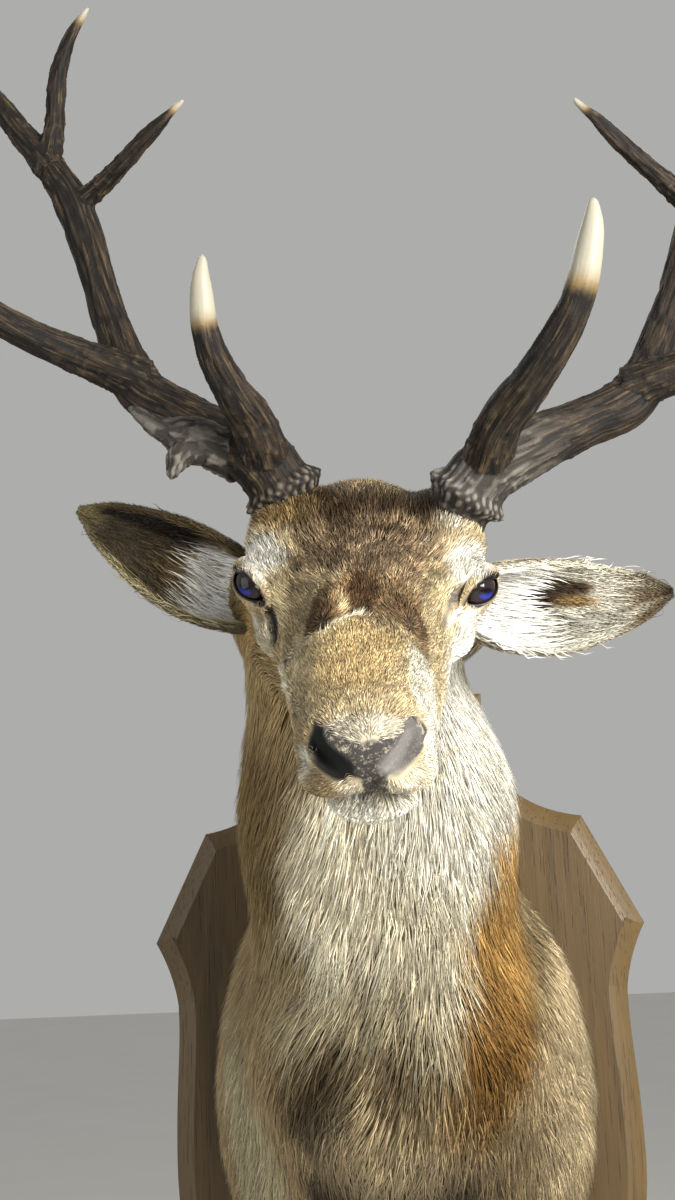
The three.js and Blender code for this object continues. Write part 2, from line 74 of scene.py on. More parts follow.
def unit(vectors):
    """Vectors divided by their own lengths."""
    return vectors / np.maximum(np.linalg.norm(vectors, axis=-1, keepdims=True), 1e-9)


def shield_outline():
    """The right half as curves from the lowest point to the block's top corner, then the same mirrored."""
    half, start = [], (0, SHIELD_BOTTOM)
    for curve in SHIELD_CURVES:
        half.append(bezier([start, *curve], 20 if len(curve) > 1 else 6))
        start = curve[-1]
    half = np.concatenate([*half, [start, (BLOCK_HALF, SHIELD_TOP)]])
    return np.concatenate([half, half[:0:-1] * (-1, 1)])


def inset(outline, width):
    """Each corner moves in along the bisector of its two edges, so that every edge moves in by the width."""
    edge = unit(np.roll(outline, -1, 0) - outline)
    inwards = np.stack([-edge[:, 1], edge[:, 0]], 1)
    bisector = unit(inwards + np.roll(inwards, 1, 0))
    return outline + bisector * width / np.maximum((bisector * inwards).sum(1, keepdims=True), 0.5)


def circle(count):
    """Angles evenly round a whole turn."""
    return np.linspace(0, 2 * math.pi, count, endpoint=False)


def grid_faces(rows, columns):
    """Quads between neighbouring rows of a closed grid whose points are numbered along each row in turn."""
    row, column = np.mgrid[0 : rows - 1, 0:columns]
    a = row * columns + column
    b = row * columns + (column + 1) % columns
    return np.stack([a, b, b + columns, a + columns], -1).reshape(-1, 4)


def capped_faces(rows, columns):
    """The grid's quads, and fans from its first and last rows to two more points numbered after it."""
    ring = np.arange(columns)
    after = (ring + 1) % columns
    last = (rows - 1) * columns
    pole = np.full(columns, rows * columns)
    first_fan = np.stack([after, ring, pole], 1)
    return [grid_faces(rows, columns), first_fan, np.stack([last + ring, last + after, pole + 1], 1)]


def put_object(name, data):
    """A new object in the scene."""
    placed = bpy.data.objects.new(name, data)
    bpy.context.scene.collection.objects.link(placed)
    return placed


def put_mesh(name, points, faces, finish, replaces=(), smooth=True):
    """A new piece that rides on the mount, from points in millimetres and faces that turn outwards."""
    made = bpy.data.meshes.new(name)
    corners = np.concatenate([np.asarray(f).ravel() for f in faces]).astype(np.int32)
    sides = np.concatenate([np.full(len(f), np.asarray(f).shape[1]) for f in faces])
    points = np.asarray(points, float).reshape(-1, 3) / 1000
    made.vertices.add(len(points))
    made.vertices.foreach_set("co", points.astype(np.float32).ravel())
    made.loops.add(len(corners))
    made.loops.foreach_set("vertex_index", corners)
    made.polygons.add(len(sides))
    made.polygons.foreach_set("loop_start", (np.cumsum(sides) - sides).astype(np.int32))
    made.polygons.foreach_set("use_smooth", np.full(len(sides), smooth))
    made.update(calc_edges=True)
    made.materials.append(finish.material)
    piece = put_object(name, made)
    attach(piece, "root")
    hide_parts(*replaces)
    return piece


def carry(piece, **fields):
    """Numbers, vectors or colours on each of a piece's points, for its shader to read by name."""
    for name, values in fields.items():
        kind, field = {1: ("FLOAT", "value"), 3: ("FLOAT_VECTOR", "vector"), 4: ("FLOAT_COLOR", "color")}[
            values.shape[-1] if values.ndim > 1 else 1]
        made = piece.data.attributes.new(name, kind, "POINT")
        made.data.foreach_set(field, values.astype(np.float32).ravel())


def linear(colours):
    """Colours of a paint chart, 0 to 255, as the linear light that shaders take."""
    share = np.asarray(colours, float) / 255
    return np.where(share > 0.04045, ((share + 0.055) / 1.055) ** 2.4, share / 12.92)


def opaque(colours):
    """Colours with a fourth number, 1."""
    return np.concatenate([colours, np.ones((*colours.shape[:-1], 1))], -1)


def tone(*colour):
    """A paint chart's red, green and blue as a colour that a shader takes."""
    return tuple(map(float, opaque(linear(colour))))


def maths(operation, swapped=False):
    """A method that adds a Math node for an operation, with its two numbers swapped if asked."""
    def apply(value, other):
        pair = (other, value) if swapped else (value, other)
        return value.finish.node("ShaderNodeMath", {"operation": operation}, dict(enumerate(pair)))
    return apply


class Value:
    """A number that varies over a surface. An operator on it adds the Math node that works it out."""

    __add__ = maths("ADD")
    __radd__ = maths("ADD", swapped=True)
    __sub__ = maths("SUBTRACT")
    __rsub__ = maths("SUBTRACT", swapped=True)
    __mul__ = maths("MULTIPLY")
    __rmul__ = maths("MULTIPLY", swapped=True)

    def __init__(self, finish, socket):
        self.finish = finish
        self.socket = socket

    def between(self, low, high):
        """0 below low, 1 above high, and eased from one to the other."""
        values = {"Value": self, "From Min": low, "From Max": high}
        return self.finish.node("ShaderNodeMapRange", {"interpolation_type": "SMOOTHSTEP"}, values)


class Finish:
    """A material whose nodes are added by node(), and whose surface is set by paint()."""

    def __init__(self, name):
        self.material = bpy.data.materials.new(name)
        self.material.use_nodes = True
        self.tree = self.material.node_tree
        self.tree.nodes.clear()

    def node(self, kind, settings=None, inputs=None, output=0):
        """A node of a type, with its settings made first, then the values or links of its sockets."""
        made = self.tree.nodes.new(kind)
        for name, setting in (settings or {}).items():
            setattr(made, name, setting)
        for name, given in (inputs or {}).items():
            if isinstance(given, Value):
                self.tree.links.new(given.socket, made.inputs[name])
            else:
                made.inputs[name].default_value = given
        return Value(self, made.outputs[output]) if made.outputs else self

    def place(self, scale=(1, 1, 1)):
        """The point's own place in metres, stretched along each axis."""
        where = self.node("ShaderNodeTexCoord", output="Object")
        return self.node("ShaderNodeMapping", inputs={"Vector": where, "Scale": scale})

    def attribute(self, name, output="Fac"):
        """What carry() stored on the piece's points by this name."""
        return self.node("ShaderNodeAttribute", {"attribute_name": name}, output=output)

    def noise(self, where, scale, detail=3.0, roughness=0.55, distortion=0.0):
        """Cloudy numbers about a half, this many to the metre."""
        values = {"Vector": where, "Scale": scale, "Detail": detail, "Roughness": roughness}
        return self.node("ShaderNodeTexNoise", inputs=values | {"Distortion": distortion})

    def layers(self, colour, *layers):
        """A colour under others, each laid over those before it by its own share."""
        for over, share in layers:
            over = tone(*over) if isinstance(over, tuple) else over
            sockets = {0: share, 6: colour, 7: over}
            colour = self.node("ShaderNodeMix", {"data_type": "RGBA"}, sockets, output=2)
        return colour

    def bump(self, height, depth):
        """A normal tilted by a height that runs over 0 to 1 for a depth in millimetres."""
        values = {"Height": height, "Distance": depth / 1000, "Strength": 1.0}
        return self.node("ShaderNodeBump", inputs=values)

    def paint(self, **values):
        """The surface itself, from values named as the shader's sockets."""
        named = {name.replace("_", " "): value for name, value in values.items()}
        surface = self.node("ShaderNodeBsdfPrincipled", inputs=named)
        return self.node("ShaderNodeOutputMaterial", inputs={"Surface": surface})


def oak_finish():
    """Long fibres up the board, wandering growth bands, dark open pores and a paler worn bevel."""
    oak = Finish("oak_satin")
    drift = oak.noise(oak.place((1, 1, 0.16)), 5, 2)
    bands = oak.noise(oak.place((1, 1, 0.035)), 70, 3, 0.6, 0.4)
    figure = oak.noise(oak.place((1, 1, 0.09)), 16, 4, 0.6, 1.2)
    fibre = oak.noise(oak.place((1, 1, 0.012)), 420, 3, 0.7)
    pores = oak.noise(oak.place((1, 1, 0.03)), 620, 2, 0.5).between(0.60, 0.70)
    brown = oak.layers(
        tone(58, 43, 21),
        ((80, 62, 33), figure.between(0.34, 0.66)),
        ((95, 75, 42), drift.between(0.46, 0.75) * 0.6),
        ((50, 36, 18), bands.between(0.5, 0.68) * 0.4),
        ((96, 77, 45), oak.attribute("bevel") * 0.5),
        ((46, 33, 19), pores * 0.4),
        ((122, 99, 62), fibre.between(0.55, 0.8) * 0.2),
    )
    grain = oak.bump(fibre * 0.6 + bands * 0.5 - pores, 0.35)
    return oak.paint(Base_Color=brown, Roughness=0.5 - 0.12 * figure + 0.2 * pores, Normal=grain,
                     Coat_Weight=0.1, Coat_Roughness=0.35, Specular_IOR_Level=0.3)


def shield():
    """The outline set in and down by each ring's numbers, closed by one face behind and one in front."""
    outline = shield_outline()
    rings = [np.insert(inset(outline, width), 1, depth, 1) for width, depth, _ in SHIELD_RINGS]
    count = len(outline)
    back = np.arange(count)[None, ::-1]
    front = np.arange(count)[None] + (len(rings) - 1) * count
    faces = [grid_faces(len(rings), count), back, front]
    piece = put_mesh("shield_board_oak", np.concatenate(rings), faces, oak_finish(), ["shield_board"],
                     smooth=False)
    carry(piece, bevel=np.repeat([bevel for *_, bevel in SHIELD_RINGS], count))


shield()


# ---------- antlers ----------
# A pair of dark, gutter-ridged antlers with ivory tips, each one piece from its pearled burr to its crown.
# They grow from the skull. The right one's second tine has gone wrong and makes a grey knobbly stump.
# Paths: outwards, back and up from midway between the burrs, then the thickness there.
ANTLER_FOOT = np.array([25, -470, 502])
ANTLER_ROLL = math.radians(5.4)
BEAM = [
    (62, 12, -26, 52), (76, 0, 0, 56), (96, -6, 25, 57), (130, 4, 47, 50), (170, 20, 71, 43),
    (214, 34, 101, 44), (247, 48, 164, 34), (273, 58, 229, 32), (297, 62, 287, 36), (326, 62, 330, 26),
]
BROW_TINE = [
    (88, -6, 14, 44), (98, -46, 45, 37), (118, -82, 70, 31), (137, -113, 104, 26), (145, -131, 146, 19),
    (146, -137, 170, 8),
]
TREZ_TINE = [
    (208, 30, 104, 42), (262, 14, 121, 33), (300, -14, 129, 30), (334, -52, 140, 27), (366, -80, 166, 20),
    (384, -92, 200, 7),
]
CROWN_TINES = [
    [(296, 62, 284, 28), (270, 49, 299, 20), (240, 29, 317, 17), (214, 14, 337, 14), (188, 5, 360, 5)],
    [(326, 62, 318, 28), (321, 58, 362, 20), (319, 50, 408, 17), (310, 44, 442, 13), (293, 40, 474, 5)],
    [(322, 62, 324, 30), (362, 66, 370, 24), (398, 72, 414, 20), (420, 72, 454, 15), (430, 70, 486, 5)],
]
BEZ_STUMP = [
    [(112, 0, 30, 44), (149, -22, 38, 38), (176, -36, 42, 20), (200, -42, 56, 8)],
    [(140, -18, 34, 32), (156, -30, 24, 25), (163, -36, 8, 15), (164, -38, 0, 8)],
]
BURR_HEIGHT = 33  # along the beam from its buried start
FORK_HEIGHT = 105
PATH_STEPS = 15  # from each row of a path to the next
ANTLER_VOXEL, ANTLER_SMOOTHING = 1.75, 5


def ease(share):
    """3 s² - 2 s³, where s is the share kept within 0 to 1."""
    share = np.clip(share, 0, 1)
    return share * share * (3 - 2 * share)


def bell(offset, width):
    """1 in the middle, falling away on both sides as exp(-(offset / width)²)."""
    return np.exp(-((offset / width) ** 2))


def along(rows, t):
    """A curve through rows of numbers, t counted in rows, as cubics with half the gap around as slope."""
    rows = np.asarray(rows, float).reshape(len(rows), -1)
    t = np.atleast_1d(np.asarray(t, float))
    last = len(rows) - 1
    i = np.clip(np.floor(t).astype(int), 0, last - 1)
    f = (t - i)[:, None]
    p, q, r, s = (rows[np.clip(i + k, 0, last)] for k in (-1, 0, 1, 2))
    a, b = (r - p) / 2, (s - q) / 2
    return q + f * (a + f * (3 * (r - q) - 2 * a - b + f * (2 * (q - r) + a + b)))


def cloud(points, size, seed=0):
    """Soft noise from 0 to 1: a random number at each corner of a grid of cubes, eased between them."""
    place = np.asarray(points, float) / size
    cell = np.floor(place).astype(np.int64)
    inner = ease(place - cell)
    total = np.zeros(place.shape[:-1])
    for corner in np.ndindex(2, 2, 2):
        number = ((cell + corner) * (73856093, 19349663, 83492791)).sum(-1) + seed * 668265263
        number = (number ^ (number >> 13)) * 1274126177 & 0xFFFFFFFF
        number = (number ^ (number >> 15)) * 2246822519 & 0xFFFFFFFF
        share = np.where(corner, inner, 1 - inner).prod(-1)
        total += share * ((number >> 8) & 0xFFFF) / 0xFFFF
    return total


def framed(path):
    """At each point of a path: its direction and two square to it, carried along without twisting."""
    forward = unit(np.gradient(path, axis=0))
    side = np.zeros_like(path)
    carried = np.array([0.0, 1.0, 0.0])
    for i, direction in enumerate(forward):
        carried = unit(carried - direction * (carried @ direction))
        side[i] = carried
    return forward, side, np.cross(forward, side)


def horn(path, sides=28):
    """Rings round a path, closed by a point at each end: centre + radius (side cos turn + other sin turn)."""
    centre, radius = path[:, :3], path[:, 3] / 2
    forward, side, other = framed(centre)
    turn = circle(sides)[:, None]
    spokes = side[:, None] * np.cos(turn) + other[:, None] * np.sin(turn)
    rings = centre[:, None] + spokes * radius[:, None, None]
    tip = centre[-1] + forward[-1] * radius[-1]
    return np.concatenate([rings.reshape(-1, 3), centre[:1], tip[None]]), capped_faces(len(path), sides)


def fused(shells, voxel, smoothing):
    """Overlapping closed shells as one skin of small squares, by a Remesh and then a Smooth modifier."""
    draft = bpy.data.meshes.new("draft")
    faces, start = [], 0
    for points, parts in shells:
        faces += [face for part in parts for face in (part + start).tolist()]
        start += len(points)
    draft.from_pydata(np.concatenate([points for points, _ in shells]) / 1000, [], faces)
    holder = put_object("draft", draft)
    remesh = holder.modifiers.new("fuse", "REMESH")
    remesh.mode = "VOXEL"
    remesh.voxel_size = voxel / 1000
    smooth = holder.modifiers.new("ease", "SMOOTH")
    smooth.factor = 0.5
    smooth.iterations = smoothing
    result = holder.evaluated_get(bpy.context.evaluated_depsgraph_get()).to_mesh()
    points = np.zeros(len(result.vertices) * 3, np.float32)
    result.vertices.foreach_get("co", points)
    corners = np.zeros(len(result.loops), np.int32)
    result.loops.foreach_get("vertex_index", corners)
    bpy.data.objects.remove(holder)
    return points.reshape(-1, 3).astype(float) * 1000, corners.reshape(-1, 4)


def vertex_normals(points, quads):
    """The mean direction of the faces round each point, by the cross product of each face's diagonals."""
    a, b, c, d = (points[quads[:, k]] for k in range(4))
    facing = np.cross(c - a, d - b)
    total = np.zeros_like(points)
    for k in range(4):
        for axis in range(3):
            total[:, axis] += np.bincount(quads[:, k], facing[:, axis], len(points))
    return unit(total)


def burr_pearls(run, turn, uneven):
    """Rows of uneven pearls round the beam: the greatest of exp(-(from row / 2.3)²) (0.5 + 0.5 cos)^1.5."""
    rows = []
    for row in (-1, 0, 1):
        beads = 0.5 + 0.5 * np.cos(22 * turn + 3.1 * row + 5 * uneven)
        rows.append(bell(run - BURR_HEIGHT - 5 * row, 2.3) * beads**1.5)
    return np.maximum.reduce(rows) * (0.35 + 1.3 * uneven)


def bone_finish():
    """Dark brown in the gutters, rubbed tan on the ridges, ivory at the tips and grey where it is scarred."""
    bone = Finish("antler_bone")
    relief = bone.attribute("relief")
    ivory = bone.attribute("ivory")
    stain = bone.noise(bone.place(), 26, 4, 0.6)
    speck = bone.noise(bone.place(), 420, 3, 0.6)
    ridges = bone.noise(bone.attribute("grain", "Vector"), 430, 4, 0.65)
    scarred = bone.layers(tone(56, 52, 47), ((112, 108, 101), relief.between(0.25, 0.95)))
    pale = bone.layers(tone(124, 104, 68), ((152, 147, 131), ivory.between(0.4, 0.9)))
    brown = bone.layers(
        tone(16, 12, 9),
        ((46, 37, 27), relief.between(0.2, 0.75)),
        ((96, 79, 55), relief.between(0.78, 1.1) * 0.6),
        ((66, 53, 35), stain.between(0.5, 0.75) * 0.3),
        ((8, 6, 4), ridges.between(0.52, 0.36) * 0.8),
        ((112, 92, 62), ridges.between(0.54, 0.72) * 0.55),
        (scarred, bone.attribute("grey")),
        (pale, (ivory + (stain - 0.5) * 0.5).between(0.25, 0.62)),
        ((30, 23, 17), speck.between(0.62, 0.78) * (1 - ivory) * 0.4),
    )
    pores = bone.bump((speck + ridges * 2.5) * (1 - 0.9 * ivory), 0.5)
    return bone.paint(Base_Color=brown, Roughness=0.66 - 0.3 * ivory + 0.1 * speck, Normal=pores,
                      Specular_IOR_Level=0.25)


def antler(name, side, lean, brow_reach, brow_scale, finish):
    """Horns along every path are fused, then raised and cut by noise drawn out along the nearest path."""
    brow = np.array(BROW_TINE, float)
    share = ease(np.arange(len(brow)) / (len(brow) - 1))[:, None]
    brow[:, :3] += share * brow_reach
    brow[:, 3:] *= 1 + (brow_scale - 1) * share
    laid = []
    for rows in [BEAM, brow, TREZ_TINE, *CROWN_TINES, *(BEZ_STUMP if side < 0 else [])]:
        # Mirrored to its side, leaning in above the fork, and rolled into place.
        out, back, up, thick = np.asarray(rows, float).T
        x = side * (out - lean * np.maximum(up - FORK_HEIGHT, 0))
        c, s = math.cos(ANTLER_ROLL), math.sin(ANTLER_ROLL)
        placed = np.stack([x * c + up * s, back, up * c - x * s, thick], 1) + (*ANTLER_FOOT, 0)
        last = len(rows) - 1
        laid.append(along(placed, np.linspace(0, last, PATH_STEPS * last)))
    points, quads = fused([horn(path) for path in laid], ANTLER_VOXEL, ANTLER_SMOOTHING)
    # The nearest sample of any path, counted from its surface, gives each point its place along and around.
    samples = np.concatenate([path[::2] for path in laid])
    lengths = [np.append(0, np.cumsum(np.linalg.norm(np.diff(path[:, :3], axis=0), axis=1))) for path in laid]
    length = np.concatenate([run[::2] for run in lengths])
    whole = np.concatenate([np.full(len(run[::2]), run[-1]) for run in lengths])
    kind = np.concatenate([np.full(len(run[::2]), k) for k, run in enumerate(lengths)])
    frames = zip(*[framed(path[:, :3]) for path in laid])
    axes = [np.concatenate([axis[::2] for axis in same]) for same in frames]
    near = np.concatenate([
        np.argmin(np.linalg.norm(part[:, None] - samples[None, :, :3], axis=2) - samples[:, 3] / 2, 1)
        for part in np.array_split(points, 40)
    ])
    offset = points - samples[near, :3]
    forward, x, y = ((offset * axis[near]).sum(1) for axis in axes)
    run, kind = length[near] + forward, kind[near]
    turn = np.arctan2(y, x)
    beam, stump = kind == 0, kind > 5
    bare = np.where(beam | stump, 0, ease((run / whole[near] - np.where(kind == 1, 0.64, 0.8)) / 0.22))
    gutter = 1 - np.abs(2 * cloud(np.stack([x, y, run / 9], 1), 4.2, 3) - 1)
    fine = cloud(np.stack([x, y, run / 6], 1), 2.3, 4)
    pearl = ease((cloud(np.stack([x, y, run], 1), 5.0, 5) - 0.56) / 0.2)
    pearled = bell(run, np.where(beam, 150, 90)) * 0.9 + 0.1
    relief = 0.62 - 0.5 * ease((gutter - 0.5) / 0.4) + 0.45 * (fine - 0.5) + 0.45 * pearl * pearled
    height = (1 - bare) * (2.4 * (relief - 0.6))
    lumps = np.where(stump, 5.0 * (cloud(points, 16, 6) - 0.5), 1.5 * (cloud(points, 30, 6) - 0.5))
    on_burr = beam * bell(run - BURR_HEIGHT, 6.5)
    pearls = beam * burr_pearls(run + 2.5 * (fine - 0.5), turn, cloud(points, 11, 8))
    burr = on_burr * (0.22 + 0.05 * np.sin(7 * turn)) * samples[near, 3] / 2 + 2.2 * pearls
    points = points + vertex_normals(points, quads) * (height + lumps + burr)[:, None]
    grey = np.maximum(np.where(stump, 0.8, 0), 0.5 * pearls)
    if side > 0:
        grey += 0.8 * bell(run - 55, 50) * beam
    nodes = [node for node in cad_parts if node.startswith("antler_" + name)]
    piece = put_mesh("antler_" + name + "_bone", points, [quads], finish, nodes)
    carry(piece, relief=np.clip(relief * (1 - 0.6 * on_burr) + 1.1 * pearls, 0, 1.3), ivory=bare, grey=grey,
          grain=np.stack([x, y, run / 22], 1) / 1000)


bone = bone_finish()
antler("left", 1, 0.12, (31, 0, 26), 1.12, bone)
antler("right", -1, 0.0, (-15, 4, -20), 0.9, bone)


# ---------- body form ----------
# The modelled body under the coat: tanned hide over a form of the skull, the neck and the shoulders.
# Eggs and limbs are blended into one shape. The hide is its surface, let in by the depth of the coat on it,
# as one closed net of rays from a line inside the body, from the middle of the nose round to the board.
EYE_LINE = np.array([15, -500, 413])
HEAD_PITCH, HEAD_YAW, HEAD_ROLL, HEAD_TWIST = 33, 2.1, 5.1, 6.5  # degrees
NOSE_REACH = 262
BODY_END = -25.3
HIDE_COLUMNS = 208
HIDE_NEAREST, HIDE_FARTHEST = 4, 330  # from the line inside the body
HIDE_STEPS = 26


def egg(at, size, blend=14):
    """How far outside an egg, about: near (near - 1) / slope, near = |p / size| and slope = |p / size²|."""
    at, size = np.array(at, float), np.array(size, float)

    def distance(points):
        place = (points - at) / size
        near = np.sqrt((place**2).sum(-1))
        slope = np.sqrt(((place / size) ** 2).sum(-1))
        return near * (near - 1) / np.maximum(slope, 1e-6)

    return distance, blend


def limb(at, radius, to, radius_to, blend=14):
    """How far outside a limb: the distance from its middle line, less a radius that runs from end to end."""
    at, axis = np.array(at, float), np.subtract(to, at).astype(float)

    def distance(points):
        t = np.clip((points - at) @ axis / (axis @ axis), 0, 1)
        return np.sqrt(((points - at - t[..., None] * axis) ** 2).sum(-1)) - radius - (radius_to - radius) * t

    return distance, blend


def pair(make, *numbers):
    """The same mass on both sides of the head."""
    flipped = [(-n[0], *n[1:]) if isinstance(n, tuple) else n for n in numbers]
    return [make(*numbers), make(*flipped)]


# Across, forward and up from the eye line, in the head's own axes.
SKULL = [
    egg((0, -48, -4), (74, 94, 50)),  # cranium
    egg((0, 6, 8), (68, 64, 37), 26),  # forehead
    limb((0, -95, -6), 62, (0, -140, -40), 70, 30),  # back of the head
    *pair(egg, (76, 2, 9), (27, 38, 28), 16),  # rim of the orbit
    *pair(limb, (14, 34, 15), 31, (13, 214, -7), 23, 22),  # bridge of the nose
    *pair(limb, (34, 30, -28), 38, (21, 206, -28), 26, 20),  # side of the upper jaw
    egg((0, 223, -21), (46, 34, 32), 14),  # end of the muzzle
    egg((0, 246, -13), (38, 18, 20), 8),  # nose pad
    *pair(egg, (22, 233, -36), (25, 25, 14), 8),  # upper lip
    egg((2, 222, -58), (32, 31, 16), 7),  # chin
    *pair(limb, (34, -44, -84), 28, (10, 198, -51), 18, 16),  # lower jaw
    *pair(egg, (50, -34, -50), (30, 60, 47), 22),  # cheek muscle
    *pair(limb, (72, 34, -26), 13, (84, -70, -24), 16, 18),  # cheekbone
    *pair(egg, (86, -98, -46), (37, 38, 48), 24),  # root of the ear
    *pair(limb, (46, -62, 26), 33, (69, -76, 44), 28, 14),  # pedicle under the antler
    *pair(egg, (70, -44, 26), (30, 40, 30), 16),  # temple
]
LID_OPENING = pair(egg, (96, 25, 12), (19, 19, 13), 4)
GLANDS = [limb((-76, 30, 4), 3.0, (-69, 52, -20), 2.4, 4), limb((71, 35, 16), 3.6, (62, 53, -8), 3.0, 4)]
NOSTRILS = pair(limb, (32, 243, -4), 5.5, (19, 263, -19), 8.5, 4)
# In the mount's axes.
NECK = [
    limb((-17, -402, 388), 86, (4, -308, 246), 121, 30),
    limb((4, -308, 246), 121, (2, -228, 136), 118, 40),
    limb((2, -228, 136), 118, (6, -150, 60), 168, 40),
    limb((6, -150, 60), 168, (2, -50, -14), 187, 40),
    limb((2, -60, -20), 185, (2, -40, -74), 179, 40),
    limb((2, -425, 446), 62, (-2, -30, 226), 112, 60),  # nape
    limb((4, -352, 268), 88, (6, -292, 52), 118, 50),  # mane down the throat
    limb((6, -286, 40), 118, (6, -60, -80), 168, 50),  # brisket
]


def head_axes():
    """Across, forward and up of the head: level axes yawed and pitched, then rolled about forward."""
    yaw, pitch, roll = (math.radians(d) for d in (HEAD_YAW, HEAD_PITCH, HEAD_ROLL))
    forward = np.array([math.sin(yaw) * math.cos(pitch), -math.cos(yaw) * math.cos(pitch), -math.sin(pitch)])
    level = np.array([math.cos(yaw), math.sin(yaw), 0])
    up = np.cross(forward, level)
    return np.stack([level * math.cos(roll) - up * math.sin(roll), forward,
                     up * math.cos(roll) + level * math.sin(roll)])


HEAD_AXES = head_axes()


def twisted(points, sense):
    """Turned about the head's forward axis, by nothing at the eyes and the whole twist at the nose."""
    a, b, c = np.moveaxis(np.asarray(points, float), -1, 0)
    t = sense * math.radians(HEAD_TWIST) * np.clip(b / NOSE_REACH, 0, 1)
    return np.stack([a * np.cos(t) + c * np.sin(t), b, c * np.cos(t) - a * np.sin(t)], -1)


def to_head(points):
    """Places on the mount as across, forward and up of the head, with its twist taken out."""
    return twisted((points - EYE_LINE) @ HEAD_AXES.T, 1)


def from_head(points):
    """Places across, forward and up of the head, twisted with it, as places on the mount."""
    return EYE_LINE + twisted(points, -1) @ HEAD_AXES


def gap(masses, points):
    """How far outside the nearer of two masses."""
    return np.minimum(*[distance(points) for distance, _ in masses])


def bump_at(points, at, size):
    """1 at a place, falling away as exp(-|p / size|²)."""
    return np.exp(-(((points - at) / size) ** 2).sum(-1))


def mirrored(local):
    """Both sides of the head laid on its left side."""
    return np.concatenate([np.abs(local[..., :1]), local[..., 1:]], -1)


def mouth_line(forward):
    """How high the lips meet: a straight line that falls towards the cheek."""
    return -44.5 - (258 - forward) * 0.105


def fold_share(local):
    """How far inside the ragged edge of the bridge's loose skin a place lies, and how high it stands."""
    a, b, c = np.moveaxis(local, -1, 0)
    ragged = 5 * (cloud(local, 7, 22) - 0.5)
    edge = np.interp(a, [-54, -44, -34, -25, -15, 0], [118, 130, 141, 145, 140, 134]) + ragged
    foot = np.interp(b, [113, 157, 201, 227], [-11, -11, -6, 0]) + ragged
    return np.minimum(b - edge, c - foot), ease((224 - b) / 50) * ease((14 - a) / 22)


def face_folds(local):
    """How far the lips' edge and the nose's groove are let in, less how far the loose skin stands out."""
    a, b, c = np.moveaxis(local, -1, 0)
    lips = 4.2 * bell(c - mouth_line(b), 2.0) * ease((b - 140) / 25)
    groove = 2.6 * bell(a - 4, 2.2) * ease((b - 236) / 8) * ease((-24 - c) / 6) * ease((c + 46) / 4)
    loose, high = fold_share(local)
    return lips + groove - 6.0 * ease(loose / 6 + 0.5) * high


def body_distance(points, lids=True):
    """Millimetres outside the body's form, about, and less than 0 inside it.

    Masses less than a blend apart join as the lesser distance - h² blend / 4, with h = 1 - apart / blend.
    """
    def blended(a, b, blend):
        h = np.maximum(blend - np.abs(a - b), 0) / blend
        return np.minimum(a, b) - h * h * blend / 4

    local = to_head(points)
    total = np.full(local.shape[:-1], 1e4)
    for distance, blend in SKULL:
        total = blended(total, distance(local), blend)
    for distance, blend in (LID_OPENING if lids else []) + GLANDS + NOSTRILS:
        total = -blended(-total, distance(local), blend)
    total = total + face_folds(local)
    for distance, blend in NECK:
        total = blended(total, distance(points), blend)
    return total


def pad_mask(local):
    """1 on the bare pad of the nose: its top edge dips in the middle, and it narrows down to the lip."""
    a, b, c = np.moveaxis(local, -1, 0)
    ragged = 3.0 * (cloud(local, 3.0, 21) - 0.5)
    half = np.interp(c, [-46, -28, -24, -19, -14, -8, 4], [8.5, 9, 14, 25, 33, 37, 38]) + ragged
    top = 4 - 5 * bell(a - 5, 15) + ragged
    across = ease((half - np.abs(a - 5)) / 3 + 0.5)
    return across * ease((top - c) / 2.5 + 0.5) * ease((c - mouth_line(b)) / 2) * ease((b - 226) / 8)


def coat_depth(points, station):
    """How thick the coat lies: by station, deep on the forehead, nothing on the nose and by the eyes."""
    local = to_head(points)
    depth = np.interp(station, np.arange(9), [1.5, 2.0, 3.2, 6, 11, 15, 17, 16, 12])
    depth = depth + 3.0 * bump_at(local, (0, 7.5, 40), (60, 75, 40)) * (local[..., 1] < 190)
    eyes = bump_at(mirrored(local), (88, 12, 8), (24, 32, 22))
    slit = bell(np.maximum(gap(GLANDS, local), 0), 5)
    nose = np.maximum(pad_mask(local), ease((local[..., 1] - 236) / 10) * 0.7)
    return depth * (1 - 0.75 * eyes) * (1 - 0.9 * slit) * (1 - nose) + 0.3 * nose


def head_station(forward, up, tilt):
    """A station on the head's middle plane."""
    return [*from_head(np.array([0.0, forward, up])), tilt]


# A line inside the body: x, y, z, and how far the cut across it tilts.
SPINE = [
    head_station(216, -22, HEAD_PITCH), head_station(125, -19, HEAD_PITCH), head_station(42, -18, 24),
    head_station(-40, -18, -4), [10, -402, 394, -28], [5, -340, 330, -44], [7, -230, 232, -36],
    [7, -120, 158, -16], [6, BODY_END, 120, 0],
]
# Rows of the net: 48 that open over the nose, then one at each of these stations along the line.
NOSE_ROWS = 48
HIDE_ROWS = np.concatenate([np.zeros(NOSE_ROWS), np.linspace(0, 3.6, 150)[1:], np.linspace(3.6, 8, 98)[1:]])
HIDE_OPEN = np.full(len(HIDE_ROWS), math.pi / 2)
HIDE_OPEN[:NOSE_ROWS] = np.radians(np.linspace(2.5, 90, NOSE_ROWS))


